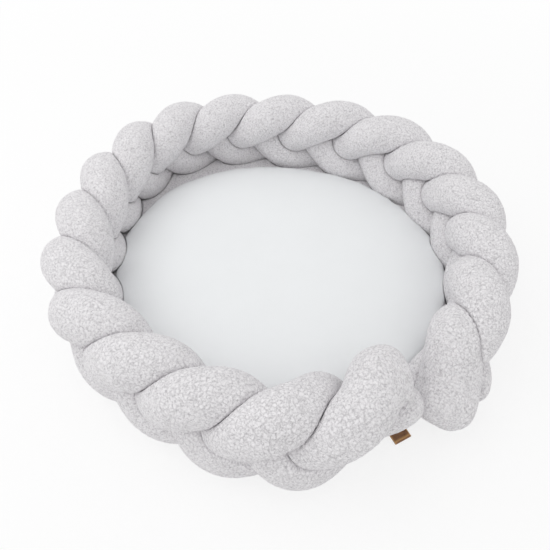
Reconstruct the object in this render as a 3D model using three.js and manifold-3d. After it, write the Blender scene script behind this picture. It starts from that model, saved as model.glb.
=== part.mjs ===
// A braided baby nest: three stuffed boucle tubes plaited into a thick rail and laid in an oval
// ring on a padded base, with a domed mattress that lifts out of the middle.
// Millimetres, +Z up, the floor at z = 0 and the origin under the middle of the nest's footprint.
import * as THREE from "three";
import { mergeVertices } from "three/addons/utils/BufferGeometryUtils.js";
import Module from "manifold-3d";

const wasm = await Module();
wasm.setup();

const degree = Math.PI / 180;
const fullTurn = 2 * Math.PI;

// Driving sizes of the ring and the plait
const ringRadius = 363.5; // middle of the nest to the middle of the rail, on average
const strandRadius = 41.5; // a stuffed tube
const weaveHeight = 55; // how far a strand climbs above and drops below the rail's middle
const weaveDepth = 15.5; // how far it bulges out of and into the ring
const strandSettle = 3.5; // how much the lowest lobes flatten on the floor
const strandGap = 0.6; // between two strands that press on each other
const coverThickness = 4;
const fillingClearance = 1;
const bendShare = 0.85; // how near the next ring a point may come inside a sharp bend
const leastReach = 6.5; // of a squeezed strand, from its middle to its skin

// The ring is an oval a little off true: each wave adds its share of the radius at its crests
const ringShares = [
  { waves: 2, share: 0.04924, crestDegrees: -46.7 },
  { waves: 3, share: 0.01568, crestDegrees: 20 },
  { waves: 4, share: 0.01596, crestDegrees: 27 },
  { waves: 5, share: 0.01183, crestDegrees: -16.8 },
];
const thicknessShares = [{ waves: 1, share: 0.06506, crestDegrees: -149.5 }]; // of strandRadius

// The rail leans in at the top, by shares of this angle
const leanDegrees = 7.8;
const leanMeanShare = -0.782;
const leanShares = [
  { waves: 1, share: 0.333, crestDegrees: -31.6 },
  { waves: 2, share: 1, crestDegrees: 33.8 },
  { waves: 3, share: 0.205, crestDegrees: 41.8 },
];

// The plait: lobes along its top edge round the whole ring, and how unevenly they are spread
const lobeCount = 19.276;
const strandCount = 3;
const weaveStartDegrees = 72.4;
const jointDegrees = -50; // where the two ends of the plait meet, at the front right
const spreadShares = [
  { waves: 1, share: 0.086, crestDegrees: 12.1 },
  { waves: 2, share: 0.065, crestDegrees: -86.9 },
  { waves: 3, share: 0.047, crestDegrees: -37.6 },
  { waves: 4, share: 0.02, crestDegrees: -23.9 },
];

// The six loose ends. A tip stops "back" short of the joint, drifts outward and upward over the
// last stretch, and its sewn end is flattened to a width of "flare" each way, turned by an angle.
// One strand also sways inward over its last bend. Back and the runs are shares of the spacing
// of the lobes, the rest of strandRadius.
const strandEnds = [
  {
    start: {
      backShare: -0.109, outwardShare: 0.482, outwardRunShare: 1.05,
      upwardShare: -1.928, upwardRunShare: 0.739, thinShare: 0.04,
      flareShare: 0.241, flareRunShare: 0.756, flareDegrees: -20,
    },
    finish: {
      backShare: 0.84, outwardShare: -0.26, outwardRunShare: 0.588,
      upwardShare: 0.3, upwardRunShare: 0.588, thinShare: 0.08,
      flareShare: 0.3, flareRunShare: 0.36, flareDegrees: 155,
    },
  },
  {
    start: {
      backShare: 0.37, outwardShare: 0.145, outwardRunShare: 0.924,
      upwardShare: -0.096, upwardRunShare: 0.924, thinShare: 0.04,
      flareShare: 0, flareRunShare: 0.672, flareDegrees: 0,
    },
    finish: {
      backShare: 1.5, outwardShare: -1.253, outwardRunShare: 0.655,
      upwardShare: -0.675, upwardRunShare: 0.588, thinShare: 0.1,
      flareShare: 0, flareRunShare: 0.756, flareDegrees: 0,
    },
  },
  {
    start: {
      backShare: -0.067, outwardShare: -0.217, outwardRunShare: 0.672,
      upwardShare: -0.241, upwardRunShare: 0.672, thinShare: 0.04,
      flareShare: 0, flareRunShare: 0.672, flareDegrees: 0,
    },
    finish: {
      backShare: 0.68, outwardShare: -0.3, outwardRunShare: 1.05,
      upwardShare: -0.62, upwardRunShare: 1.05, thinShare: 0.26,
      flareShare: 0, flareRunShare: 0.7, flareDegrees: 0,
      swayShare: -0.45, swayRunShare: 1.596,
    },
  },
];

// How finely the solids are cut
const stationCount = 84; // rings along one strand
const sideCount = 8; // sides round a strand
const tipAngleDegrees = [30, 58, 78];
const pressSharpness = 9; // how crisp the creases between pressed strands are
const outlineCount = 36; // corners of the mattress and the cushion of the base
const panelOutlineCount = 72; // corners of the bottom panel
const probeSteps = 5; // along each side of a face of the skin, when the base is fitted to it
const lineCount = 260; // points that stand for each strand when neighbours are measured
const settleRounds = 14; // how often the skins are checked against each other and eased back
const foldDifference = 1; // how uneven four neighbouring points are before a crease is folded in
const ringSteps = 720; // for measuring along the ring
const tangentDegrees = 0.5; // each way, for the direction of the ring at a point
const measuresPerStation = 6; // for measuring along a strand
const flareProbeShares = [-1, -0.5, 0, 0.5, 1]; // where a flattened end is measured across
const leastFlare = 1;
const curveSegments = 6;
const mergeDistance = 1e-4;
const leastCosine = 1e-6; // keeps a division from zero

// Base
const panelThickness = 12;
const baseHeight = 30;
const topThickness = 3;
const layerClearance = 0.3;
const baseClearance = 0.3; // to the lobes round it
const outlineWindowDegrees = 9;
const directionCount = 360;

// Mattress
const mattressClearance = 2; // to the lobes, so that it lifts out
const mattressRise = 34; // from its underside to the crown
const seamRise = 5; // height of its edge seam above the underside
const underInset = 14; // the underside is drawn in by this much
const sheetThickness = 1.5;
const hemWidth = 34; // how far the sheet turns in under the mattress
const crownShares = [
  { width: 0.97, height: 0.27 },
  { width: 0.9, height: 0.52 },
  { width: 0.76, height: 0.77 },
  { width: 0.5, height: 0.94 },
];
const elasticWidth = 6;
const elasticThickness = 1.1;

// Zip in the underside of the base
const zipLength = 420;
const zipOffset = -110; // from the middle of the nest towards its front
const recessDepth = 8;
const recessWidth = 36;
const recessClearance = 3; // beyond the puller's end when the zip is open
const slotWidth = 13;
const tapeWidth = 13;
const tapeThickness = 0.8;
const coilWidth = 2.2;
const coilHeight = 1.3;
const coilGap = 2; // between the two rows, where the slider's wedge runs
const stopLength = 4;
const sliderLength = 11;
const sliderWidth = 9;
const wingThickness = 1.3;
const wedgeWidth = 1.2;
const sliderClearance = 0.4;
const bailDrop = 3.2; // the loop under the slider that holds the puller
const bailWidth = 1.6;
const bailThickness = 1;
const pullerLength = 24;
const pullerWidth = 7;
const pullerThickness = 1;
const pullerEyeLength = 6.4;
const pullerEyeWidth = 3.6;
const pullerBar = 1.2;
const pullerDroopDegrees = 3.5; // its free end rests lower

// Leather tag under the left end of the plait
const tagWidth = 30;
const tagReach = 26; // from its fold line at the stitching to its outer end
const tagThickness = 1.4;
const tagLayerGap = 0.5;
const tagFoot = 0.5; // height above the floor
const tagBack = 78; // distance of its middle from the joint, along the rail
const tagOutward = 19; // its outer end, measured out from the rail's middle line
const tagTurnDegrees = -5.4; // off square to the rail
const tagHingeGap = 0.4;

const cutOverrun = 1;

function waveSum(waveShares, angle) {
  return waveShares.reduce(
    (sum, w) => sum + w.share * Math.cos(w.waves * (angle - w.crestDegrees * degree)),
    0,
  );
}

// 0 far from a tip, 1 at it, smooth both ways
function ease(x) {
  const t = Math.min(Math.max(x, 0), 1);
  return t * t * t * (t * (6 * t - 15) + 10);
}

// The ring's middle line, seen from above
function ringPoint(angle) {
  const radius = ringRadius * (1 + waveSum(ringShares, angle));
  return new THREE.Vector3(radius * Math.cos(angle), radius * Math.sin(angle), 0);
}

function ringOutward(angle) {
  const step = tangentDegrees * degree;
  const along = ringPoint(angle + step).sub(ringPoint(angle - step)).normalize();
  return new THREE.Vector3(along.y, -along.x, 0);
}

// Distance travelled along the ring from the joint, against the angle reached
const travelled = [0];
for (let i = 1; i <= ringSteps; i++) {
  const before = ringPoint(jointDegrees * degree + ((i - 1) / ringSteps) * fullTurn);
  const after = ringPoint(jointDegrees * degree + (i / ringSteps) * fullTurn);
  travelled.push(travelled[i - 1] + before.distanceTo(after));
}
const ringLength = travelled[ringSteps];
const lobeSpacing = ringLength / lobeCount;

function ringAngle(distance) {
  const laps = Math.floor(distance / ringLength);
  const rest = distance - laps * ringLength;
  let low = 0;
  let high = ringSteps;
  while (high - low > 1) {
    const middle = (low + high) >> 1;
    if (travelled[middle] > rest) high = middle;
    else low = middle;
  }
  const part = (rest - travelled[low]) / (travelled[high] - travelled[low]);
  return jointDegrees * degree + (laps + (low + part) / ringSteps) * fullTurn;
}

// One strand's middle line: it climbs over the top of the rail, dives inside, comes out below
// and round again, a third of a cycle behind its neighbour
function strandPoint(strand, distance) {
  const angle = ringAngle(distance);
  const outwardWay = ringOutward(angle);
  const share = distance / ringLength;
  const lobes = lobeCount * share + waveSum(spreadShares, share * fullTurn);
  const cycle = (fullTurn * (lobes + strand)) / strandCount + weaveStartDegrees * degree;
  const rise = weaveHeight * Math.sin(cycle);
  const bulge = weaveDepth * Math.sin(2 * cycle);
  const lean = leanDegrees * (leanMeanShare + waveSum(leanShares, angle)) * degree;
  let outward = bulge * Math.cos(lean) + rise * Math.sin(lean);
  let height = weaveHeight + strandRadius - strandSettle;
  height += rise * Math.cos(lean) - bulge * Math.sin(lean);
  let radius = strandRadius * (1 + waveSum(thicknessShares, angle));
  let flare = 0;
  let flareDegrees = 0;
  const { start, finish } = strandEnds[strand];
  const tips = [
    { end: start, left: distance / lobeSpacing - start.backShare },
    { end: finish, left: (ringLength - distance) / lobeSpacing - finish.backShare },
  ];
  for (const { end, left } of tips) {
    outward += end.outwardShare * strandRadius * ease(1 - left / end.outwardRunShare);
    height += end.upwardShare * strandRadius * ease(1 - left / end.upwardRunShare);
    if (end.swayShare) {
      const along = Math.min(Math.max(left / end.swayRunShare, 0), 1);
      outward += end.swayShare * strandRadius * 16 * along ** 2 * (1 - along) ** 2;
    }
    const closing = ease(1 - left / end.flareRunShare);
    radius *= 1 - end.thinShare * closing;
    if (closing > 0) {
      flare = end.flareShare * strandRadius * closing;
      flareDegrees = end.flareDegrees;
    }
  }
  const centre = ringPoint(angle).addScaledVector(outwardWay, outward);
  centre.z = Math.max(height, radius - strandSettle);
  return { centre, radius, flare, flareDegrees };
}

// Stations spaced evenly along the strand itself, each with its own axes
function strandStations(strand, count) {
  const { start, finish } = strandEnds[strand];
  const from = start.backShare * lobeSpacing;
  const to = ringLength - finish.backShare * lobeSpacing;
  const fineCount = measuresPerStation * stationCount;
  const lengths = [0];
  let last = strandPoint(strand, from).centre;
  for (let i = 1; i <= fineCount; i++) {
    const next = strandPoint(strand, from + ((to - from) * i) / fineCount).centre;
    lengths.push(lengths[i - 1] + next.distanceTo(last));
    last = next;
  }
  const stations = [];
  let fine = 0;
  for (let i = 0; i < count; i++) {
    const wanted = (lengths[fineCount] * i) / (count - 1);
    while (fine < fineCount - 1 && lengths[fine + 1] < wanted) fine++;
    const part = (wanted - lengths[fine]) / (lengths[fine + 1] - lengths[fine]);
    const distance = from + ((to - from) * (fine + part)) / fineCount;
    stations.push({ distance, ...strandPoint(strand, distance) });
  }
  stations.forEach((s, i) => {
    s.before = stations[i - 1];
    s.after = stations[i + 1];
    const from = (s.before ?? s).centre;
    const to = (s.after ?? s).centre;
    s.along = to.clone().sub(from).normalize();
    s.side = s.along.clone().cross(new THREE.Vector3(0, 0, 1)).normalize();
    s.up = s.side.clone().cross(s.along);
    const turn = s.flareDegrees * degree;
    s.flareWay = s.side.clone().multiplyScalar(Math.cos(turn)).addScaledVector(s.up, Math.sin(turn));
  });
  return stations;
}

// Points along the middle of every strand, spread across its flattened ends, for measuring
const linePoints = [];
for (let strand = 0; strand < strandCount; strand++) {
  for (const s of strandStations(strand, lineCount)) {
    const spread = s.flare > leastFlare ? flareProbeShares : [0];
    for (const share of spread) {
      const place = s.centre.clone().addScaledVector(s.flareWay, share * s.flare);
      linePoints.push({ strand, distance: s.distance, place, radius: s.radius });
    }
  }
}

function isNeighbour(point, strand, station) {
  if (point.strand !== strand) return true;
  return Math.abs(point.distance - station.distance) > ringLength / 2;
}

// How far the strand's skin lies from the station's centre in one direction. A flattened end is
// wider along its flare. Where another strand presses, the skin stops half way between the two,
// where the floor presses, it lies on the floor, and inside a sharp bend it stops short of the
// stations beside it.
function skinReach(strand, station, way, nearby) {
  const { centre, radius, flare, flareWay } = station;
  const across = way.dot(flareWay);
  const square = Math.sqrt(Math.max(1 - across * across, 0));
  let reach = radius;
  if (flare > 0) {
    const flat = Math.abs((radius * across) / Math.max(square, leastCosine)) <= flare;
    const corner = flare * Math.abs(across);
    const round = Math.sqrt(Math.max(radius * radius - flare * flare * square * square, 0));
    reach = flat ? radius / square : corner + round;
  }
  const shift = Math.min(Math.max(reach * across, -flare), flare);
  const root = centre.clone().addScaledVector(flareWay, shift);
  const offset = centre.clone().sub(root);
  let press = Infinity;
  for (const point of nearby) {
    const apart = point.place.clone().sub(root);
    const span = apart.length();
    const facing = way.dot(apart) / span;
    if (facing <= 0) continue;
    const uneven = (radius * radius - point.radius * point.radius) / (2 * span);
    const middle = span / 2 + uneven - strandGap / 2;
    press = Math.min(press, (middle - offset.dot(apart) / span) / facing);
  }
  if (press < Infinity) {
    press = Math.max(press, leastReach);
    const soft = Math.pow(reach, -pressSharpness) + Math.pow(press, -pressSharpness);
    reach = Math.pow(soft, -1 / pressSharpness);
  }
  if (way.z < 0) reach = Math.min(reach, centre.z / -way.z);
  for (const beside of [station.before, station.after]) {
    if (!beside) continue;
    const room = beside.centre.clone().sub(centre).dot(beside.along);
    const toward = way.dot(beside.along) * Math.sign(room);
    if (toward > 0) reach = Math.min(reach, (bendShare * Math.abs(room)) / toward);
  }
  return reach;
}

// Half the difference between the distances to another strand and to this one, less half the
// gap: negative where a point lies too near the other strand
function spare(place, strand, station) {
  let own = Infinity;
  let other = Infinity;
  for (const point of linePoints) {
    const apart = point.place.distanceToSquared(place);
    if (isNeighbour(point, strand, station)) other = Math.min(other, apart);
    else own = Math.min(own, apart);
  }
  return (Math.sqrt(other) - Math.sqrt(own) - strandGap) / 2;
}

function skinPoint(row, side) {
  return row.station.centre.clone().addScaledVector(row.ways[side], row.reaches[side]);
}

// Eases a strand's points back until its flat faces, and not only its corners, stay on its own
// side of the creases. Four points that form a saddle are folded along the lower diagonal.
function settleSkin(strand, rows) {
  for (const row of rows) row.folds = row.ways.map(() => false);
  for (let round = 0; round < settleRounds; round++) {
    const easing = rows.map((row) => row.reaches.map(() => 0));
    for (let r = 0; r + 1 < rows.length; r++) {
      for (let i = 0; i < sideCount; i++) {
        const next = (i + 1) % sideCount;
        const corners = [[r, i], [r, next], [r + 1, next], [r + 1, i]];
        const reaches = corners.map(([row, side]) => rows[row].reaches[side]);
        const straight = reaches[0] + reaches[2];
        const turned = reaches[1] + reaches[3];
        rows[r].folds[i] = turned < straight - foldDifference;
        const points = corners.map(([row, side]) => skinPoint(rows[row], side));
        const [from, to] = rows[r].folds[i] ? [1, 3] : [0, 2];
        const others = rows[r].folds[i] ? [0, 2] : [1, 3];
        const fold = points[from].clone().add(points[to]).divideScalar(2);
        const probes = [fold];
        for (const other of others) {
          probes.push(fold.clone().lerp(points[other], 0.5));
          probes.push(points[from].clone().lerp(points[other], 0.5));
          probes.push(points[to].clone().lerp(points[other], 0.5));
        }
        const worst = Math.min(...probes.map((probe) => spare(probe, strand, rows[r].station)));
        if (worst >= 0) continue;
        const longest = Math.max(...reaches);
        corners.forEach(([row, side], k) => {
          const amount = (-worst * reaches[k]) / longest;
          easing[row][side] = Math.max(easing[row][side], amount);
        });
      }
    }
    easing.forEach((list, r) =>
      list.forEach((amount, i) => {
        rows[r].reaches[i] = Math.max(rows[r].reaches[i] - amount, leastReach);
      }),
    );
  }
}

// One strand as a row for each ring of points, from one tip to the other
function strandRows(strand) {
  const stations = strandStations(strand, stationCount);
  const rows = [];
  function addRow(station, tilt) {
    const farthest = 2 * (station.radius + station.flare) + strandGap;
    const nearby = linePoints.filter(
      (point) =>
        isNeighbour(point, strand, station) &&
        point.place.distanceTo(station.centre) < farthest,
    );
    const row = { station, ways: [], reaches: [] };
    for (let side = 0; side < sideCount; side++) {
      const turn = ((side + 0.5) / sideCount) * fullTurn;
      const way = station.side.clone().multiplyScalar(Math.cos(turn));
      way.addScaledVector(station.up, Math.sin(turn)).multiplyScalar(Math.cos(tilt));
      way.addScaledVector(station.along, Math.sin(tilt));
      row.ways.push(way);
      row.reaches.push(skinReach(strand, station, way, nearby));
    }
    row.pole = station.along.clone().multiplyScalar(Math.sign(tilt) || 1);
    row.poleReach = skinReach(strand, station, row.pole, nearby);
    rows.push(row);
  }
  const first = stations[0];
  const last = stations[stationCount - 1];
  for (const angle of [...tipAngleDegrees].reverse()) addRow(first, -angle * degree);
  stations.forEach((station) => addRow(station, 0));
  for (const angle of tipAngleDegrees) addRow(last, angle * degree);
  settleSkin(strand, rows);
  return rows;
}

function skinRing(row, depth) {
  return row.ways.map((way, i) =>
    row.station.centre.clone().addScaledVector(way, row.reaches[i] - depth),
  );
}

function polePoint(row, depth) {
  return [row.station.centre.clone().addScaledVector(row.pole, row.poleReach - depth)];
}

// Joins rings of points into one closed skin. A ring of one point closes an end. "folds" says,
// for each pair of rings, which of its four-cornered faces are split along the other diagonal.
function skinGeometry(rings, folds = []) {
  const points = rings.flat();
  const starts = [];
  rings.reduce((at, ring) => (starts.push(at), at + ring.length), 0);
  const faces = [];
  for (let r = 0; r + 1 < rings.length; r++) {
    const a = starts[r];
    const b = starts[r + 1];
    const count = Math.max(rings[r].length, rings[r + 1].length);
    for (let i = 0; i < count; i++) {
      const next = (i + 1) % count;
      if (rings[r].length === 1) {
        faces.push([a, b + next, b + i]);
      } else if (rings[r + 1].length === 1) {
        faces.push([a + i, a + next, b]);
      } else if (folds[r]?.[i]) {
        faces.push([a + i, a + next, b + i]);
        faces.push([a + next, b + next, b + i]);
      } else {
        faces.push([a + i, a + next, b + next]);
        faces.push([a + i, b + next, b + i]);
      }
    }
  }
  let volume = 0;
  for (const [i, j, k] of faces) {
    volume += points[i].dot(points[j].clone().cross(points[k]));
  }
  if (volume < 0) faces.forEach((face) => face.reverse());
  const geometry = new THREE.BufferGeometry();
  const places = new Float32Array(points.flatMap((p) => [p.x, p.y, p.z]));
  geometry.setAttribute("position", new THREE.BufferAttribute(places, 3));
  geometry.setIndex(faces.flat());
  return geometry;
}

// The rings and folds of a strand's skin at a depth, from its first tip to its last
function skinUp(rows, depth) {
  return {
    rings: rows.map((row) => skinRing(row, depth)),
    folds: rows.slice(0, -1).map((row) => row.folds),
  };
}

// The same from its last tip back to its first, where every face meets its rings the other way
function skinDown(rows, depth) {
  const { rings, folds } = skinUp(rows, depth);
  return {
    rings: rings.reverse(),
    folds: folds.reverse().map((list) => list.map((fold) => !fold)),
  };
}

// A sewn tube of boucle, hollow, with the hole in its far tip that it was stuffed through
function coverGeometry(rows) {
  const outside = skinUp(rows, 0);
  const inside = skinDown(rows, coverThickness);
  return skinGeometry(
    [polePoint(rows[0], 0), ...outside.rings, ...inside.rings, polePoint(rows[0], coverThickness)],
    [[], ...outside.folds, [], ...inside.folds, []],
  );
}

function fillingGeometry(rows) {
  const depth = coverThickness + fillingClearance;
  const body = skinUp(rows, depth);
  return skinGeometry(
    [polePoint(rows[0], depth), ...body.rings, polePoint(rows[rows.length - 1], depth)],
    [[], ...body.folds, []],
  );
}

// The skins of the rail as short lines that cover every face
function skinLines(strands) {
  const lines = [];
  function coverFace(a, b, c) {
    const spot = (i, j) =>
      a.clone().lerp(b, i / probeSteps).addScaledVector(c.clone().sub(a), j / probeSteps);
    for (let i = 0; i < probeSteps; i++) {
      for (let j = 0; j < probeSteps - i; j++) {
        const corners = [spot(i, j), spot(i + 1, j), spot(i, j + 1)];
        corners.forEach((corner, k) => lines.push([corner, corners[(k + 1) % 3]]));
      }
    }
  }
  for (const rows of strands) {
    for (let r = 0; r + 1 < rows.length; r++) {
      for (let i = 0; i < sideCount; i++) {
        const next = (i + 1) % sideCount;
        const [a, b] = [skinPoint(rows[r], i), skinPoint(rows[r], next)];
        const [c, d] = [skinPoint(rows[r + 1], next), skinPoint(rows[r + 1], i)];
        if (rows[r].folds[i]) {
          coverFace(a, b, d);
          coverFace(b, c, d);
        } else {
          coverFace(a, b, c);
          coverFace(a, c, d);
        }
      }
    }
  }
  return lines;
}

// The free space inside the rail below a given height: for each direction from the middle, how
// far a piece may reach before it meets a lobe. The smallest of a window of directions is
// taken and then averaged, so the outline is smooth and never enters a lobe.
function freeOutline(lines, top, clearance, count) {
  const free = new Array(directionCount).fill(Infinity);
  for (const [from, to] of lines) {
    const [low, high] = from.z < to.z ? [from, to] : [to, from];
    if (low.z > top) continue;
    const end = high.z > top ? low.clone().lerp(high, (top - low.z) / (high.z - low.z)) : high;
    for (const { x, y } of [low, end]) {
      const turn = Math.atan2(y, x) / fullTurn;
      const direction = Math.round((turn + 1) * directionCount) % directionCount;
      free[direction] = Math.min(free[direction], Math.hypot(x, y));
    }
  }
  const reachOut = Math.round((outlineWindowDegrees * degree * directionCount) / fullTurn);
  const windowed = (list, join) =>
    list.map((_, i) => {
      const near = [];
      for (let k = -reachOut; k <= reachOut; k++) {
        near.push(list[(i + k + directionCount) % directionCount]);
      }
      return join(near);
    });
  const least = windowed(free, (near) => Math.min(...near));
  const widest = Math.max(...least.filter(Number.isFinite));
  const bounded = least.map((reach) => Math.min(reach, widest));
  const mean = windowed(bounded, (near) => near.reduce((sum, x) => sum + x, 0) / near.length);
  const outline = [];
  for (let i = 0; i < count; i++) {
    outline.push(mean[Math.round((i * directionCount) / count) % directionCount] - clearance);
  }
  return outline;
}

// Rings of points that follow an outline: a share of it, less an inset, at a height
function outlineRing(outline, { share = 1, inset = 0, z }) {
  if (share === 0) return [new THREE.Vector3(0, 0, z)];
  return outline.map((reach, i) => {
    const angle = (i / outline.length) * fullTurn;
    const radius = reach * share - inset;
    return new THREE.Vector3(radius * Math.cos(angle), radius * Math.sin(angle), z);
  });
}

function padGeometry(outline, profile) {
  return skinGeometry(profile.map((point) => outlineRing(outline, point)));
}

// A closed band round an outline, with a four-sided section
function bandGeometry(outline, inner, outer, low, high) {
  const corners = [
    { inset: outer, z: low },
    { inset: outer, z: high },
    { inset: inner, z: high },
    { inset: inner, z: low },
  ].map((corner) => outlineRing(outline, corner));
  return skinGeometry([...corners, corners[0]]);
}

function toSolid(geometry) {
  const bare = new THREE.BufferGeometry();
  const plain = geometry.index ? geometry.toNonIndexed() : geometry;
  bare.setAttribute("position", plain.getAttribute("position").clone());
  const merged = mergeVertices(bare, mergeDistance);
  return new wasm.Manifold(
    new wasm.Mesh({
      numProp: 3,
      vertProperties: new Float32Array(merged.attributes.position.array),
      triVerts: new Uint32Array(merged.index.array),
    }),
  );
}

function toGeometry(solid) {
  const mesh = solid.getMesh();
  const geometry = new THREE.BufferGeometry();
  geometry.setAttribute("position", new THREE.BufferAttribute(mesh.vertProperties, 3));
  geometry.setIndex(new THREE.BufferAttribute(mesh.triVerts, 1));
  return geometry;
}

// A box given by its lowest and highest corners
function block(low, high) {
  const size = high.map((value, i) => value - low[i]);
  const geometry = new THREE.BoxGeometry(...size);
  geometry.translate(...high.map((value, i) => (value + low[i]) / 2));
  return geometry;
}

const boucle = { color: 0xdcdadd, roughness: 0.95, metalness: 0 };
const wadding = { color: 0xf4f3f0, roughness: 1, metalness: 0 };
const lining = { color: 0xd8d7d8, roughness: 0.9, metalness: 0 };
const cotton = { color: 0xe8eaec, roughness: 0.85, metalness: 0 };
const foam = { color: 0xf1ead6, roughness: 0.95, metalness: 0 };
const elastic = { color: 0xf2f2f2, roughness: 0.8, metalness: 0 };
const leather = { color: 0x785a44, roughness: 0.55, metalness: 0 };
const zipTape = { color: 0xcfcfd2, roughness: 0.85, metalness: 0 };
const nylon = { color: 0xc4c5c8, roughness: 0.4, metalness: 0 };
const zinc = { color: 0xb4b6ba, roughness: 0.35, metalness: 1 };

const nest = new THREE.Group();

function addPiece(name, geometry, finish, group = nest) {
  geometry.computeVertexNormals();
  const mesh = new THREE.Mesh(geometry, new THREE.MeshStandardMaterial(finish));
  mesh.name = name;
  group.add(mesh);
  return mesh;
}

// Rail: three covers and their fillings
const strands = strandEnds.map((_, strand) => strandRows(strand));
strands.forEach((rows, strand) => {
  addPiece(`strand_cover_${strand + 1}`, coverGeometry(rows), boucle);
  addPiece(`strand_filling_${strand + 1}`, fillingGeometry(rows), wadding);
});
const railLines = skinLines(strands);

// Base: a quilted bottom panel, loose wadding and a boucle top that reaches down round it
const panelOutline = freeOutline(railLines, panelThickness, baseClearance, panelOutlineCount);
const baseOutline = freeOutline(railLines, baseHeight, baseClearance, outlineCount);
const zipStart = -zipLength / 2;
const zipEnd = zipLength / 2;
const panelBlank = padGeometry(panelOutline, [
  { share: 0, z: 0 },
  { z: 0 },
  { z: panelThickness },
  { share: 0, z: panelThickness },
]);
const pullerOverhang = pullerLength - sliderLength / 2 - layerClearance - stopLength;
const recessMargin = pullerOverhang + recessClearance;
const recess = block(
  [zipStart - recessMargin, zipOffset - recessWidth / 2, -cutOverrun],
  [zipEnd + recessMargin, zipOffset + recessWidth / 2, recessDepth],
);
const slot = block(
  [zipStart, zipOffset - slotWidth / 2, -cutOverrun],
  [zipEnd, zipOffset + slotWidth / 2, panelThickness + cutOverrun],
);
const panel = toSolid(panelBlank).subtract(toSolid(recess)).subtract(toSolid(slot));
addPiece("base_bottom_panel", toGeometry(panel), lining);

const wallInset = topThickness + layerClearance;
const waddingLow = panelThickness + layerClearance;
const waddingHigh = baseHeight - topThickness - layerClearance;
addPiece(
  "base_wadding",
  padGeometry(baseOutline, [
    { share: 0, z: waddingLow },
    { inset: wallInset, z: waddingLow },
    { inset: wallInset, z: waddingHigh },
    { share: 0, z: waddingHigh },
  ]),
  wadding,
);
addPiece(
  "base_top_panel",
  padGeometry(baseOutline, [
    { share: 0, z: baseHeight },
    { inset: topThickness / 2, z: baseHeight },
    { inset: 0, z: baseHeight - topThickness / 2 },
    { inset: 0, z: waddingLow },
    { inset: topThickness, z: waddingLow },
    { inset: topThickness, z: baseHeight - topThickness },
    { share: 0, z: baseHeight - topThickness },
  ]),
  boucle,
);

// Mattress: a domed foam core in a fitted sheet, held under it by an elastic hem
const mattressOutline = freeOutline(railLines, Infinity, mattressClearance, outlineCount);
const mattressFoot = baseHeight + layerClearance;
const domeRise = mattressRise - seamRise;
const dome = crownShares.map(({ width, height }) => ({
  share: width,
  z: mattressFoot + seamRise + domeRise * height,
}));
const domeInside = [...dome].reverse().map(({ share, z }) => ({
  share,
  inset: sheetThickness / 2,
  z: z - sheetThickness,
}));
const hemInset = underInset + hemWidth;
const mattress = new THREE.Group();
nest.add(mattress);
addPiece(
  "mattress_sheet",
  padGeometry(mattressOutline, [
    { share: 0, z: mattressFoot + mattressRise },
    ...[...dome].reverse(),
    { inset: 0, z: mattressFoot + seamRise },
    { inset: underInset, z: mattressFoot },
    { inset: hemInset, z: mattressFoot },
    { inset: hemInset, z: mattressFoot + sheetThickness },
    { inset: underInset + sheetThickness, z: mattressFoot + sheetThickness },
    { inset: 2 * sheetThickness, z: mattressFoot + seamRise },
    ...[...domeInside].reverse(),
    { share: 0, z: mattressFoot + mattressRise - sheetThickness },
  ]),
  cotton,
  mattress,
);
const coreFoot = mattressFoot + sheetThickness + layerClearance;
addPiece(
  "mattress_core",
  padGeometry(mattressOutline, [
    { share: 0, z: mattressFoot + mattressRise - sheetThickness - layerClearance },
    ...domeInside.map(({ share, inset, z }) => ({
      share,
      inset: inset + layerClearance,
      z: z - layerClearance,
    })),
    { inset: 2 * sheetThickness + 2 * layerClearance, z: mattressFoot + seamRise },
    { inset: underInset + sheetThickness + layerClearance, z: coreFoot },
    { share: 0, z: coreFoot },
  ]),
  foam,
  mattress,
);
addPiece(
  "hem_elastic",
  bandGeometry(
    mattressOutline,
    hemInset + layerClearance + elasticWidth,
    hemInset + layerClearance,
    mattressFoot + sheetThickness - elasticThickness,
    mattressFoot + sheetThickness,
  ),
  elastic,
  mattress,
);

// Zip: two tapes with their coils, a stop at each end, and the slider with its puller
const tapeTop = recessDepth - layerClearance;
const tapeFoot = tapeTop - tapeThickness;
const coilTop = tapeFoot - layerClearance;
const coilFoot = coilTop - coilHeight;
for (const [name, way] of [["front", -1], ["back", 1]]) {
  const tapeEdges = [zipOffset + (way * coilGap) / 2, zipOffset + way * (coilGap / 2 + tapeWidth)];
  tapeEdges.sort((a, b) => a - b);
  addPiece(
    `zip_tape_${name}`,
    block([zipStart, tapeEdges[0], tapeFoot], [zipEnd, tapeEdges[1], tapeTop]),
    zipTape,
  );
  const coilEdges = [zipOffset + (way * coilGap) / 2, zipOffset + way * (coilGap / 2 + coilWidth)];
  coilEdges.sort((a, b) => a - b);
  addPiece(
    `zip_coil_${name}`,
    block(
      [zipStart + stopLength + layerClearance, coilEdges[0], coilFoot],
      [zipEnd - stopLength - layerClearance, coilEdges[1], coilTop],
    ),
    nylon,
  );
}
const stopHalf = coilGap / 2 + coilWidth;
for (const [name, at] of [["closed", zipStart], ["open", zipEnd - stopLength]]) {
  addPiece(
    `zip_stop_${name}`,
    block([at, zipOffset - stopHalf, coilFoot], [at + stopLength, zipOffset + stopHalf, coilTop]),
    zinc,
  );
}

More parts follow.
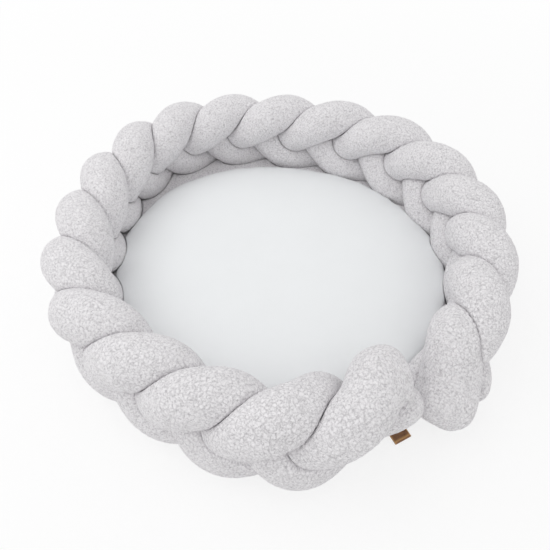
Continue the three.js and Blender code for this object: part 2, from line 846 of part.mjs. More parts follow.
const slider = new THREE.Group();
slider.position.set(zipStart + stopLength + layerClearance + sliderLength / 2, zipOffset, 0);
nest.add(slider);
const upperWingFoot = tapeTop + sliderClearance;
const lowerWingTop = coilFoot - sliderClearance;
const lowerWingFoot = lowerWingTop - wingThickness;
const halfLength = sliderLength / 2;
const halfWidth = sliderWidth / 2;
const bailFoot = lowerWingFoot - bailDrop;
const sliderBlocks = [
  block([-halfLength, -halfWidth, upperWingFoot], [halfLength, halfWidth, upperWingFoot + wingThickness]),
  block([-halfLength, -halfWidth, lowerWingFoot], [halfLength, halfWidth, lowerWingTop]),
  block(
    [-halfLength / 2, -wedgeWidth / 2, lowerWingTop - cutOverrun],
    [halfLength / 2, wedgeWidth / 2, upperWingFoot + cutOverrun],
  ),
  block([-halfLength, -bailWidth / 2, bailFoot], [-halfLength + bailThickness, bailWidth / 2, lowerWingTop]),
  block([halfLength - bailThickness, -bailWidth / 2, bailFoot], [halfLength, bailWidth / 2, lowerWingTop]),
  block([-halfLength, -bailWidth / 2, bailFoot], [halfLength, bailWidth / 2, bailFoot + bailThickness]),
];
const sliderSolid = sliderBlocks.map(toSolid).reduce((sum, piece) => sum.add(piece));
addPiece("zip_slider", toGeometry(sliderSolid), zinc, slider);

// The puller's cross bar runs between the slider and its bail, and the bail passes its eye
const barMiddle = (lowerWingFoot + bailFoot + bailThickness) / 2;
const eyeStart = pullerBar / 2;
const pullerOutline = new THREE.Shape();
pullerOutline.moveTo(-pullerBar / 2, -pullerWidth / 2);
pullerOutline.lineTo(pullerLength - pullerWidth / 2, -pullerWidth / 2);
pullerOutline.absarc(pullerLength - pullerWidth / 2, 0, pullerWidth / 2, -Math.PI / 2, Math.PI / 2);
pullerOutline.lineTo(-pullerBar / 2, pullerWidth / 2);
const eye = new THREE.Path();
eye.moveTo(eyeStart, -pullerEyeWidth / 2);
eye.lineTo(eyeStart, pullerEyeWidth / 2);
eye.lineTo(eyeStart + pullerEyeLength, pullerEyeWidth / 2);
eye.lineTo(eyeStart + pullerEyeLength, -pullerEyeWidth / 2);
pullerOutline.holes.push(eye);
const pullerGeometry = new THREE.ExtrudeGeometry(pullerOutline, {
  depth: pullerThickness,
  bevelEnabled: false,
  curveSegments,
});
pullerGeometry.translate(0, 0, -pullerThickness / 2);
const puller = addPiece("zip_puller", pullerGeometry, zinc, slider);
puller.position.z = barMiddle;
puller.rotation.y = pullerDroopDegrees * degree;

// Tag: a strip of leather folded double. Its root runs in under the rail to the seam at the edge
// of the base, and its flap is free.
const tagAngle = ringAngle(ringLength - tagBack);
const tagOut = ringOutward(tagAngle);
const tagEnd = ringPoint(tagAngle).addScaledVector(tagOut, tagOutward);
const tagWay = tagOut.clone().applyAxisAngle(new THREE.Vector3(0, 0, 1), tagTurnDegrees * degree);
const tagPlace = tagEnd.clone().addScaledVector(tagWay, -tagReach);
const tag = new THREE.Group();
tag.position.set(tagPlace.x, tagPlace.y, tagFoot);
tag.rotation.z = Math.atan2(tagWay.y, tagWay.x);
nest.add(tag);
const tagHeight = 2 * tagThickness + tagLayerGap;
const flapSection = new THREE.Shape();
flapSection.moveTo(tagHingeGap, 0);
flapSection.lineTo(tagReach - tagHeight / 2, 0);
flapSection.absarc(tagReach - tagHeight / 2, tagHeight / 2, tagHeight / 2, -Math.PI / 2, Math.PI / 2);
flapSection.lineTo(tagHingeGap, tagHeight);
flapSection.lineTo(tagHingeGap, tagHeight - tagThickness);
flapSection.lineTo(tagReach - tagHeight / 2, tagHeight - tagThickness);
flapSection.absarc(tagReach - tagHeight / 2, tagHeight / 2, tagLayerGap / 2, Math.PI / 2, -Math.PI / 2, true);
flapSection.lineTo(tagHingeGap, tagThickness);
function tagStrip(section) {
  const geometry = new THREE.ExtrudeGeometry(section, {
    depth: tagWidth,
    bevelEnabled: false,
    curveSegments,
  });
  geometry.rotateX(Math.PI / 2);
  geometry.translate(0, tagWidth / 2, 0);
  return geometry;
}
addPiece("tag_flap", tagStrip(flapSection), leather, tag);

tag.updateMatrix();
const seam = outlineRing(panelOutline, { z: 0 }).map((point) =>
  point.applyMatrix4(tag.matrix.clone().invert()),
);
let seamReach = -Infinity;
seam.forEach((from, i) => {
  const to = seam[(i + 1) % seam.length];
  for (const edge of [-tagWidth / 2, tagWidth / 2]) {
    const part = (edge - from.y) / (to.y - from.y);
    if (part < 0 || part > 1) continue;
    const across = from.x + part * (to.x - from.x);
    if (across < 0) seamReach = Math.max(seamReach, across);
  }
  if (Math.abs(from.y) <= tagWidth / 2 && from.x < 0) seamReach = Math.max(seamReach, from.x);
});
addPiece(
  "tag_root",
  block([seamReach + layerClearance, -tagWidth / 2, 0], [0, tagWidth / 2, tagHeight]),
  leather,
  tag,
);

// The origin goes under the middle of the whole nest
nest.updateMatrixWorld(true);
const footprint = new THREE.Box3().setFromObject(nest, true);
const middle = footprint.getCenter(new THREE.Vector3());
nest.position.set(-middle.x, -middle.y, -footprint.min.z);

export default nest;
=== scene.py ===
import math

import bmesh
import bpy
import numpy as np
from mathutils import Matrix, Vector
from mathutils.bvhtree import BVHTree


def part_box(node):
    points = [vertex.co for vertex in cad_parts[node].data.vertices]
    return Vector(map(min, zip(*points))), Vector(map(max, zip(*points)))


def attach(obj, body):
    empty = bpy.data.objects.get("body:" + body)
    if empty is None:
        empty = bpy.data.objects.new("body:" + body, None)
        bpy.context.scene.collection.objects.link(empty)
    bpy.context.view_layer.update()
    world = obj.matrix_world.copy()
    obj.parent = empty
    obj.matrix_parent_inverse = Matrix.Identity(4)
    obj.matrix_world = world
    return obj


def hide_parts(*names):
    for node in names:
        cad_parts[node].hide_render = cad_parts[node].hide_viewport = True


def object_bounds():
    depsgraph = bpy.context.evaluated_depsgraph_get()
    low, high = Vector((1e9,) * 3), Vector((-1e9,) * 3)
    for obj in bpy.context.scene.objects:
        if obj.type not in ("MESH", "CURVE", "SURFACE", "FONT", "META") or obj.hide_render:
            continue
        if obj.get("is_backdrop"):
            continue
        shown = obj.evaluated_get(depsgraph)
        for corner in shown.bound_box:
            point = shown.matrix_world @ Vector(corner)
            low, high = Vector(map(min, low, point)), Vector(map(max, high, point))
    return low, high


# Dresses the braided nest: tubes, base cushion, mattress, zip and tag. Metres throughout.
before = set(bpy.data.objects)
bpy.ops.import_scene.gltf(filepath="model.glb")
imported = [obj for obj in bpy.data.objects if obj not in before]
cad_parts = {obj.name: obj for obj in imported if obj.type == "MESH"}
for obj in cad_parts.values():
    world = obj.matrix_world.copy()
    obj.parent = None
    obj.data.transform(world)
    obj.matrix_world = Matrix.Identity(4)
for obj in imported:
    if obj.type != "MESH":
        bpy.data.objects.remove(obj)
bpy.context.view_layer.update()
print("frame loaded")

fullTurn = 2 * math.pi
nestMiddle = np.array([-0.0014371, 0.0033264, 0.0])  # the ring's own middle, in the frame


# Small helpers
def linear(hexColour):
    channels = [int(hexColour[i:i + 2], 16) / 255 for i in (1, 3, 5)]
    bent = [c / 12.92 if c <= 0.04045 else ((c + 0.055) / 1.055) ** 2.4 for c in channels]
    return (*bent, 1.0)


# An input is given as a value, as a socket, or as a node, which stands for its first live output
def addNode(tree, kind, inputs=None, **settings):
    node = tree.nodes.new(kind)
    for name, value in settings.items():
        setattr(node, name, value)
    for key, value in (inputs or {}).items():
        if isinstance(value, bpy.types.Node):
            value = next(socket for socket in value.outputs if socket.enabled)
        if isinstance(value, bpy.types.NodeSocket):
            tree.links.new(value, node.inputs[key])
        else:
            node.inputs[key].default_value = value
    return node


def newMaterial(name):
    material = bpy.data.materials.new(name)
    material.use_nodes = True
    tree = material.node_tree
    tree.nodes.clear()
    return material, tree, addNode(tree, "ShaderNodeTexCoord").outputs["Object"]


def endMaterial(material, look):
    shader = addNode(material.node_tree, "ShaderNodeBsdfPrincipled", look)
    addNode(material.node_tree, "ShaderNodeOutputMaterial", {"Surface": shader})
    return material


def newTree(name, sockets):
    tree = bpy.data.node_groups.new(name, "GeometryNodeTree")
    for way in ("INPUT", "OUTPUT"):
        tree.interface.new_socket("Geometry", in_out=way, socket_type="NodeSocketGeometry")
    for label, kind in sockets:
        tree.interface.new_socket(label, in_out="INPUT", socket_type="NodeSocket" + kind)
    return tree, addNode(tree, "NodeGroupInput").outputs


def endTree(tree, geometry, material):
    smooth = addNode(tree, "GeometryNodeSetShadeSmooth", {"Geometry": geometry})
    real = addNode(tree, "GeometryNodeRealizeInstances", {"Geometry": smooth})
    dressed = addNode(tree, "GeometryNodeSetMaterial", {"Geometry": real, "Material": material})
    addNode(tree, "NodeGroupOutput", {"Geometry": dressed})


# Keeps what the modifiers make as the piece's plain mesh
def settle(piece):
    bpy.context.view_layer.update()
    graph = bpy.context.evaluated_depsgraph_get()
    made = bpy.data.meshes.new_from_object(piece.evaluated_get(graph))
    piece.modifiers.clear()
    piece.data = made
    made.name = piece.name
    return piece


def runTree(piece, tree, values):
    modifier = piece.modifiers.new(tree.name, "NODES")
    modifier.node_group = tree
    for item in tree.interface.items_tree:
        if item.in_out == "INPUT" and item.name in values:
            modifier[item.identifier] = values[item.name]
    return settle(piece)


def meshObject(name, points, faces, edges=()):
    mesh = bpy.data.meshes.new(name)
    mesh.from_pydata([tuple(p) for p in points], list(edges), [tuple(f) for f in faces])
    mesh.validate()
    piece = bpy.data.objects.new(name, mesh)
    bpy.context.scene.collection.objects.link(piece)
    return piece


# A smooth closed skin over rings of points: a fan closes each end, or else the last ring joins
# the first
def skinObject(name, rings, poles=None):
    count, sides = len(rings), len(rings[0])
    points = np.reshape(rings, (-1, 3))
    faces = []
    for r in range(count - 1 if poles else count):
        s = (r + 1) % count
        for i in range(sides):
            j = (i + 1) % sides
            faces.append((r * sides + i, r * sides + j, s * sides + j, s * sides + i))
    if poles:
        points = np.vstack([points, poles])
        first, last = count * sides, count * sides + 1
        for i in range(sides):
            j = (i + 1) % sides
            faces.append((first, j, i))
            faces.append((last, (count - 1) * sides + i, (count - 1) * sides + j))
    piece = meshObject(name, points, faces)
    piece.data.calc_loop_triangles()
    corners = np.zeros(3 * len(piece.data.loop_triangles), np.int32)
    piece.data.loop_triangles.foreach_get("vertices", corners)
    a, b, c = (points[corners[k::3]] for k in range(3))
    if np.einsum("ij,ij", a, np.cross(b, c)) < 0:
        piece.data.flip_normals()
    piece.data.shade_smooth()
    return piece


# A finer copy of a CAD node: its doubles merged, its edges broken
def bevelledCopy(node, name, width):
    piece = bpy.data.objects.new(name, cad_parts[node].data.copy())
    bpy.context.scene.collection.objects.link(piece)
    shape = bmesh.new()
    shape.from_mesh(piece.data)
    bmesh.ops.remove_doubles(shape, verts=shape.verts, dist=1e-6)
    bmesh.ops.dissolve_limit(shape, angle_limit=math.radians(1), verts=shape.verts,
                             edges=shape.edges)
    shape.to_mesh(piece.data)
    shape.free()
    bevel = piece.modifiers.new("brokenEdges", "BEVEL")
    bevel.width = width
    bevel.segments = 2
    bevel.limit_method = "ANGLE"
    bevel.angle_limit = math.radians(35)
    settle(piece)
    piece.data.shade_smooth()
    piece.data.set_sharp_from_angle(angle=math.radians(32))
    return piece


def addAttribute(piece, name, kind, values):
    attribute = piece.data.attributes.new(name, kind, "POINT")
    key = "vector" if kind == "FLOAT_VECTOR" else "value"
    attribute.data.foreach_set(key, np.asarray(values, np.float32).ravel())


# Materials
# Patterns are placed in metres, so one of a size in millimetres has a scale of 1000 over it. One
# rib or thread is half a wave, and a wave pattern of scale 1 has 20 radians in a metre.
bandScale = 1000 * math.pi / 20

bouclePattern = {
    "colour": "#f9f7f9",
    "shade": "#cecbce",  # painted shade, down between the loops
    "yarnMillimetres": 1.4,  # drawn out to twice its real size so that it shows
    "yarnDepth": 0.3,
    "loopMillimetres": 2.7,  # a clump of loops
    "creaseMillimetres": 6.0,  # between the fine creases where the loops part
    "creaseWidth": 0.12,
    "creaseDepth": 0.32,
    "patchMillimetres": 11.0,
    "patchDepth": 0.15,
    "pull": 0.9,  # how far the yarn bends the clumps and creases, in their own size
    "softness": 0.6,
    "lightest": 0.34,
    "darkest": 1.04,
    "loopHeight": 0.0016,
    "relief": 0.8,
}
jerseyPattern = {
    "colour": "#f2f4f5",
    "ribMillimetres": 1.6,  # a real rib is 0.7 mm, drawn coarser so that it shows
    "ribHeight": 0.00006,
    "creaseMillimetres": 70,
    "creaseHeight": 0.002,
    "tones": (0.985, 1.015),
}
leatherPattern = {
    "colour": "#966a43",
    "dark": "#6b472c",  # in the pores and folds
    "highlightColour": "#cfa066",  # painted highlight on the fold's bend; along the cut edges partly the lighter raw edge and partly painted highlight
    "highlightRoughness": 0.3,
    "grainMillimetres": 1.1,
    "grainHeight": 0.00018,
    "cloudScale": 120.0,
    "roughness": 0.42,
    "coat": 0.15,
}


# Acrylic boucle, knitted from a looped yarn: soft matt pebbles in one colour, with painted shade only
# deep between the clumps of loops and in the creases where they part, and a fine grain on them
def makeBoucle(pattern):
    material, tree, place = newMaterial("knittedBoucle")
    yarn = addNode(tree, "ShaderNodeTexNoise",
                   {"Vector": place, "Scale": 1000 / pattern["yarnMillimetres"], "Detail": 2.0,
                    "Roughness": 0.6})
    offset = addNode(tree, "ShaderNodeVectorMath",
                     {0: yarn.outputs["Color"], 1: (0.5, 0.5, 0.5)}, operation="SUBTRACT")
    cells = []
    for size, feature in ((pattern["loopMillimetres"], "SMOOTH_F1"),
                          (pattern["creaseMillimetres"], "DISTANCE_TO_EDGE")):
        pulled = addNode(tree, "ShaderNodeVectorMath",
                         {0: offset, "Scale": pattern["pull"] * size / 1000}, operation="SCALE")
        bent = addNode(tree, "ShaderNodeVectorMath", {0: place, 1: pulled}, operation="ADD")
        cells.append(addNode(tree, "ShaderNodeTexVoronoi", {"Vector": bent, "Scale": 1000 / size},
                             feature=feature))
    cells[0].inputs["Smoothness"].default_value = pattern["softness"]
    cracks = addNode(tree, "ShaderNodeMapRange",
                     {"Value": cells[1], "From Max": pattern["creaseWidth"],
                      "To Min": pattern["creaseDepth"], "To Max": 0.0})
    patches = addNode(tree, "ShaderNodeTexNoise",
                      {"Vector": place, "Scale": 1000 / pattern["patchMillimetres"], "Detail": 1.0})
    grain = addNode(tree, "ShaderNodeMath", {0: cells[0], 1: cracks}, operation="ADD")
    for layer, depth in ((patches, pattern["patchDepth"]), (yarn, -pattern["yarnDepth"])):
        grain = addNode(tree, "ShaderNodeMath", {0: layer, 1: depth, 2: grain},
                        operation="MULTIPLY_ADD")
    # Painted shade: where the grain is deep, between the clumps and in the creases, the colour goes
    # to the shade colour; the patches and the yarn add a random tone
    dark = addNode(tree, "ShaderNodeMapRange",
                   {"Value": grain, "From Min": pattern["lightest"],
                    "From Max": pattern["darkest"]})
    dyed = addNode(tree, "ShaderNodeMix",
                   {0: dark, 6: linear(pattern["colour"]), 7: linear(pattern["shade"])},
                   data_type="RGBA")
    bump = addNode(tree, "ShaderNodeBump",
                   {"Height": grain, "Distance": pattern["loopHeight"],
                    "Strength": pattern["relief"]}, invert=True)
    return endMaterial(material, {
        "Base Color": dyed, "Normal": bump, "Roughness": 0.95, "Sheen Weight": 0.25,
        "Sheen Roughness": 0.6, "Specular IOR Level": 0.2})


# A pattern changes the tone of one colour and, with a height, the relief
def endDyed(material, pattern, colour, tones, look, height=0, strength=0.0):
    tree = material.node_tree
    tone = addNode(tree, "ShaderNodeMapRange",
                   {"Value": pattern, "To Min": tones[0], "To Max": tones[1]})
    dyed = addNode(tree, "ShaderNodeHueSaturation", {"Color": linear(colour), "Value": tone})
    look = {"Base Color": dyed, **look}
    if height:
        look["Normal"] = addNode(tree, "ShaderNodeBump",
                                 {"Height": pattern, "Distance": height, "Strength": strength})
    return endMaterial(material, look)


# Cotton jersey: smooth and matt, with a fine knit and soft creases
def makeJersey(pattern):
    material, tree, place = newMaterial("cottonJersey")
    ribs = addNode(tree, "ShaderNodeTexWave",
                   {"Vector": place, "Scale": bandScale / pattern["ribMillimetres"],
                    "Distortion": 0.6, "Detail": 1.0, "Detail Scale": 2.0},
                   wave_type="BANDS", bands_direction="X")
    creases = addNode(tree, "ShaderNodeTexNoise",
                      {"Vector": place, "Scale": 1000 / pattern["creaseMillimetres"], "Detail": 3.0,
                       "Roughness": 0.45})
    soft = addNode(tree, "ShaderNodeBump",
                   {"Height": creases, "Distance": pattern["creaseHeight"], "Strength": 0.5})
    fine = addNode(tree, "ShaderNodeBump",
                   {"Height": ribs.outputs["Fac"], "Distance": pattern["ribHeight"],
                    "Strength": 0.6, "Normal": soft})
    return endDyed(material, creases, pattern["colour"], pattern["tones"], {
        "Normal": fine, "Roughness": 0.85, "Sheen Weight": 0.12, "Specular IOR Level": 0.25})


# Woven polyester: a plain weave with a slight shine
def makeWeave(name, colour, threadMillimetres, height, roughness):
    material, tree, place = newMaterial(name)
    rows = [addNode(tree, "ShaderNodeTexWave",
                    {"Vector": place, "Scale": bandScale / threadMillimetres, "Distortion": 0.2},
                    wave_type="BANDS", bands_direction=way).outputs["Fac"] for way in "XY"]
    crossed = addNode(tree, "ShaderNodeMath", {0: rows[0], 1: rows[1]}, operation="MULTIPLY")
    return endDyed(material, crossed, colour, (0.93, 1.02),
                   {"Roughness": roughness, "Sheen Weight": 0.1}, height, 0.7)


# Vegetable-tanned leather, waxed: a fine pebbled grain with a soft shine
def makeLeather(pattern):
    material, tree, place = newMaterial("waxedLeather")
    grain = addNode(tree, "ShaderNodeTexVoronoi",
                    {"Vector": place, "Scale": 1000 / pattern["grainMillimetres"]},
                    feature="SMOOTH_F1")
    cloud = addNode(tree, "ShaderNodeTexNoise",
                    {"Vector": place, "Scale": pattern["cloudScale"], "Detail": 3.0})
    tone = addNode(tree, "ShaderNodeMath", {0: grain, 1: -0.5, 2: cloud},
                   operation="MULTIPLY_ADD")
    light = addNode(tree, "ShaderNodeMapRange", {"Value": tone, "From Min": 0.0, "From Max": 0.5})
    # Painted highlight on the fold's bend and along the cut edges, where the lighter colour is also
    # partly the raw cut edge; there the leather is smoother too
    worn = addNode(tree, "ShaderNodeAttribute", attribute_name="worn").outputs["Fac"]
    dyed = linear(pattern["dark"])
    for share, colour in ((light, "colour"), (worn, "highlightColour")):
        dyed = addNode(tree, "ShaderNodeMix", {0: share, 6: dyed, 7: linear(pattern[colour])},
                       data_type="RGBA")
    shine = addNode(tree, "ShaderNodeMapRange",
                    {"Value": worn, "To Min": pattern["roughness"],
                     "To Max": pattern["highlightRoughness"]})
    bump = addNode(tree, "ShaderNodeBump",
                   {"Height": grain, "Distance": pattern["grainHeight"], "Strength": 0.6},
                   invert=True)
    return endMaterial(material, {
        "Base Color": dyed, "Roughness": shine, "Normal": bump, "Coat Weight": pattern["coat"]})


# Nickel-plated zinc, die cast and tumbled: bright, with faint handling marks
def makeZinc():
    material, tree, place = newMaterial("platedZinc")
    marks = addNode(tree, "ShaderNodeTexNoise", {"Vector": place, "Scale": 900.0, "Detail": 4.0})
    rough = addNode(tree, "ShaderNodeMapRange", {"Value": marks, "To Min": 0.25, "To Max": 0.45})
    bump = addNode(tree, "ShaderNodeBump", {"Height": marks, "Distance": 0.00005, "Strength": 0.4})
    return endMaterial(material, {
        "Base Color": linear("#c9cacd"), "Metallic": 1.0, "Roughness": rough, "Normal": bump})


# A fine speckle in the tone, for the small or hidden pieces
def makeSpeckled(name, colour, kind, speckle, tones, look, height=0):
    material, tree, place = newMaterial(name)
    pattern = addNode(tree, kind, {"Vector": place, **speckle})
    return endDyed(material, pattern, colour, tones, look, height, 0.8)


boucle = makeBoucle(bouclePattern)
jersey = makeJersey(jerseyPattern)
# The threads of the lining are drawn four times too coarse, so that the weave shows
lining = makeWeave("polyesterLining", "#dcdbdd", 1.6, 0.0001, 0.7)
zipTape = makeWeave("wovenZipTape", "#d2d2d5", 0.9, 0.00008, 0.8)
elasticBand = makeWeave("wovenElastic", "#f1f1f2", 1.0, 0.0002, 0.8)
leather = makeLeather(leatherPattern)
zinc = makeZinc()
# Soft polyurethane foam: fine open cells of 1.4 mm
foam = makeSpeckled("openCellFoam", "#f1ead8", "ShaderNodeTexVoronoi", {"Scale": 700.0},
                    (0.9, 1.03), {"Roughness": 0.95}, 0.0005)
# Sewing thread: two plies, seen as a slight change of tone along it
thread, tanThread = (
    makeSpeckled(name, colour, "ShaderNodeTexNoise", {"Scale": 2500.0, "Detail": 1.0},
                 (0.88, 1.08), {"Roughness": 0.6, "Sheen Weight": 0.2})
    for name, colour in (("polyesterThread", "#e6e5e7"), ("waxedThread", "#8d6a4b")))
# Moulded nylon: smooth, slightly waxy
nylon = makeSpeckled("mouldedNylon", "#c9cacd", "ShaderNodeTexNoise",
                     {"Scale": 400.0, "Detail": 2.0}, (0.96, 1.04), {"Roughness": 0.35})

# The plait
plait = {
    "ringRadius": 0.3635,
    # Each wave: how many in a turn, its share, and where its crest is in degrees
    "ringWaves": [(2, 0.04924, -46.7), (3, 0.01568, 20), (4, 0.01596, 27), (5, 0.01183, -16.8)],
    "tubeRadius": 0.0415,
    "tubeWaves": [(1, 0.06506, -149.5)],
    "weaveHeight": 0.055,  # the middle lines swing this far up and down, weaveDepth in and out
    "weaveDepth": 0.0155,
    "settle": 0.0035,  # pressed flat where a tube lies on the floor
    "leanDegrees": 7.8,  # how far the rail leans in or out
    "leanMean": -0.782,
    "leanWaves": [(1, 0.333, -31.6), (2, 1, 33.8), (3, 0.205, 41.8)],
    "lobes": 19.276,
    "weaveStart": 72.4,  # degrees
    "joint": -50,  # where the plait's ends meet, in degrees
    "spreadWaves": [(1, 0.086, 12.1), (2, 0.065, -86.9), (3, 0.047, -37.6), (4, 0.02, -23.9)],
    "gap": 0.0006,  # between two tubes
    "creaseSharpness": 20.0,
    "bendShare": 0.85,  # of a bend's radius, which the tube's inside may fill
    "leastReach": 0.004,
    "rings": 1080,
    "sides": 88,
    "tipRings": 16,
    "tipClosing": 0.985,  # a tip closes just short of its pole
    "neighbourPoints": 620,
    "ownShare": 0.25,  # of the ring, in which a strand is its own neighbour at the other end
    "leastFlare": 0.001,  # an end flatter than this counts as wide
    "leastFacing": 0.05,  # a neighbour stops a tip only when it lies this far ahead of it
    "shallowest": 0.02,  # the same limit for the skin, so that no skin runs along a plane
    "flareSpread": 1.5,
    "farRadii": 3.0,  # where the search for a neighbour starts, at least farLeast away
    "farLeast": 0.05,
    "napHeight": 0.0012,
    "napSpacing": 0.0062,
    "lumpHeight": 0.0022,
    "lumpSpacing": 0.06,
    "pressPasses": 8,
    "flatBelow": 0.002,  # nap and lumps fade out between these heights, towards the floor
    "fullAbove": 0.012,
    "fill": 0.8,
}
# The inputs of the tubes' tree that are set to those values
tubeLabels = ("Sides", "Gap", "Flare Spread", "Far Radii", "Far Least", "Shallowest",
              "Crease Sharpness", "Bend Share", "Least Reach", "Nap Height", "Nap Spacing",
              "Lump Height", "Lump Spacing", "Flat Below", "Full Above")
# Each end: back, outward, its run, upward, its run, thinning, flare, its run, flare angle, then
# a sway outward over the last bend and its run. Back and runs in lobe spacings, the rest in
# tube radii.
looseEnds = [
    [(-0.109, 0.482, 1.05, -1.928, 0.739, 0.04, 0.241, 0.756, -20, 0, 1),
     (0.84, -0.26, 0.588, 0.3, 0.588, 0.08, 0.3, 0.36, 155, 0, 1)],
    [(0.37, 0.145, 0.924, -0.096, 0.924, 0.04, 0, 0.672, 0, 0, 1),
     (1.5, -1.253, 0.655, -0.675, 0.588, 0.1, 0, 0.756, 0, 0, 1)],
    [(-0.067, -0.217, 0.672, -0.241, 0.672, 0.04, 0, 0.672, 0, 0, 1),
     (0.68, -0.3, 1.05, -0.62, 1.05, 0.26, 0, 0.7, 0, -0.45, 1.596)],
]


def waveSum(waves, angle):
    return sum(share * np.cos(count * (angle - math.radians(crest)))
               for count, share, crest in waves)


def ringPoint(angle):
    radius = plait["ringRadius"] * (1 + waveSum(plait["ringWaves"], angle))
    return np.stack([radius * np.cos(angle), radius * np.sin(angle), 0 * angle], -1)


def ringOutward(angle):
    step = math.radians(0.5)
    along = ringPoint(angle + step) - ringPoint(angle - step)
    along /= np.linalg.norm(along, axis=-1, keepdims=True)
    return np.stack([along[..., 1], -along[..., 0], 0 * angle], -1)


joint = math.radians(plait["joint"])
ringTurns = np.linspace(0, fullTurn, 721)
ringSteps = np.linalg.norm(np.diff(ringPoint(joint + ringTurns), axis=0), axis=1)
travelled = np.concatenate([[0], np.cumsum(ringSteps)])
ringLength = travelled[-1]
lobeSpacing = ringLength / plait["lobes"]


def ringAngle(distance):
    laps = np.floor(distance / ringLength)
    return joint + laps * fullTurn + np.interp(distance - laps * ringLength, travelled, ringTurns)


def ease(x):
    t = np.clip(x, 0, 1)
    return t * t * t * (t * (6 * t - 15) + 10)


# A tube's middle line: over the top of the rail, down the inside, out below and round again
def strandLine(strand, distance):
    angle = ringAngle(distance)
    share = distance / ringLength
    lobes = plait["lobes"] * share + waveSum(plait["spreadWaves"], share * fullTurn)
    cycle = fullTurn * (lobes + strand) / 3 + math.radians(plait["weaveStart"])
    rise, bulge = plait["weaveHeight"] * np.sin(cycle), plait["weaveDepth"] * np.sin(2 * cycle)
    lean = plait["leanDegrees"] * (plait["leanMean"] + waveSum(plait["leanWaves"], angle))
    lean = np.radians(lean)
    outward = bulge * np.cos(lean) + rise * np.sin(lean)
    height = plait["weaveHeight"] + plait["tubeRadius"] - plait["settle"]
    height = height + rise * np.cos(lean) - bulge * np.sin(lean)
    radius = plait["tubeRadius"] * (1 + waveSum(plait["tubeWaves"], angle))
    flare, flareAngle = 0 * distance, 0 * distance
    start, finish = looseEnds[strand]
    for end, left in ((start, distance / lobeSpacing - start[0]),
                      (finish, (ringLength - distance) / lobeSpacing - finish[0])):
        back, out, outRun, up, upRun, thin, flareShare, flareRun, turn, sway, swayRun = end
        outward = outward + out * plait["tubeRadius"] * ease(1 - left / outRun)
        bent = np.clip(left / swayRun, 0, 1)
        outward = outward + 16 * sway * plait["tubeRadius"] * bent ** 2 * (1 - bent) ** 2
        height = height + up * plait["tubeRadius"] * ease(1 - left / upRun)
        closing = ease(1 - left / flareRun)
        radius = radius * (1 - thin * closing)
        flare = np.where(closing > 0, flareShare * plait["tubeRadius"] * closing, flare)
        flareAngle = np.where(closing > 0, math.radians(turn), flareAngle)
    centre = ringPoint(angle) + ringOutward(angle) * outward[:, None]
    centre[:, 2] = np.maximum(height, radius - plait["settle"])
    return centre + nestMiddle, radius, flare, flareAngle


# The same line at even steps along the tube, with the way that its flattened end is turned
def strandStations(strand, count):
    start, finish = looseEnds[strand]
    ends = start[0] * lobeSpacing, ringLength - finish[0] * lobeSpacing
    fine = np.linspace(*ends, 6 * count)
    steps = np.linalg.norm(np.diff(strandLine(strand, fine)[0], axis=0), axis=1)
    lengths = np.concatenate([[0], np.cumsum(steps)])
    distance = np.interp(np.linspace(0, lengths[-1], count), lengths, fine)
    centre, radius, flare, flareAngle = strandLine(strand, distance)
    along = np.gradient(centre, axis=0)
    along /= np.linalg.norm(along, axis=1, keepdims=True)
    side = np.cross(along, [0, 0, 1])
    side /= np.linalg.norm(side, axis=1, keepdims=True)
    up = np.cross(side, along)
    flareWay = side * np.cos(flareAngle)[:, None] + up * np.sin(flareAngle)[:, None]
    step = lengths[-1] / (count - 1)
    bend = np.gradient(along, step, axis=0)
    return {"distance": distance, "centre": centre, "along": along, "tubeRadius": radius,
            "flare": flare, "flareWay": flareWay, "bend": bend}


# Points that stand for the tubes round one end of a strand, spread over flattened ends. A strand
# is its own neighbour only where its other end lies beside it.
def neighbourCloud(name, strand, fromStart):
    places, radii = [], []
    for other in range(3):
        stations = strandStations(other, plait["neighbourPoints"])
        share = stations["distance"] / ringLength
        if other == strand:
            near = share > 1 - plait["ownShare"] if fromStart else share < plait["ownShare"]
        else:
            near = share > -1
        for i in np.flatnonzero(near):
            flare = stations["flare"][i]
            for part in (-1, -0.5, 0, 0.5, 1) if flare > plait["leastFlare"] else (0,):
                places.append(stations["centre"][i] + part * flare * stations["flareWay"][i])
                radii.append(stations["tubeRadius"][i])
    cloud = meshObject(name, places, [])
    addAttribute(cloud, "tubeRadius", "FLOAT", radii)
    return cloud


# How far a tip may reach along its own axis before a neighbour stops it
def tipReach(centre, along, radius, cloud):
    apart = np.array([point.co for point in cloud.data.vertices]) - centre
    sizes = cloud.data.attributes["tubeRadius"].data
    radii = np.array([size.value for size in sizes], np.float32)
    span = np.linalg.norm(apart, axis=1)
    facing = apart @ along / span
    ahead = facing > plait["leastFacing"]
    halfWay = span / 2 + (radius ** 2 - radii ** 2) / (2 * span) - plait["gap"] / 2
    return max(min(radius, (halfWay[ahead] / facing[ahead]).min()), plait["leastReach"])


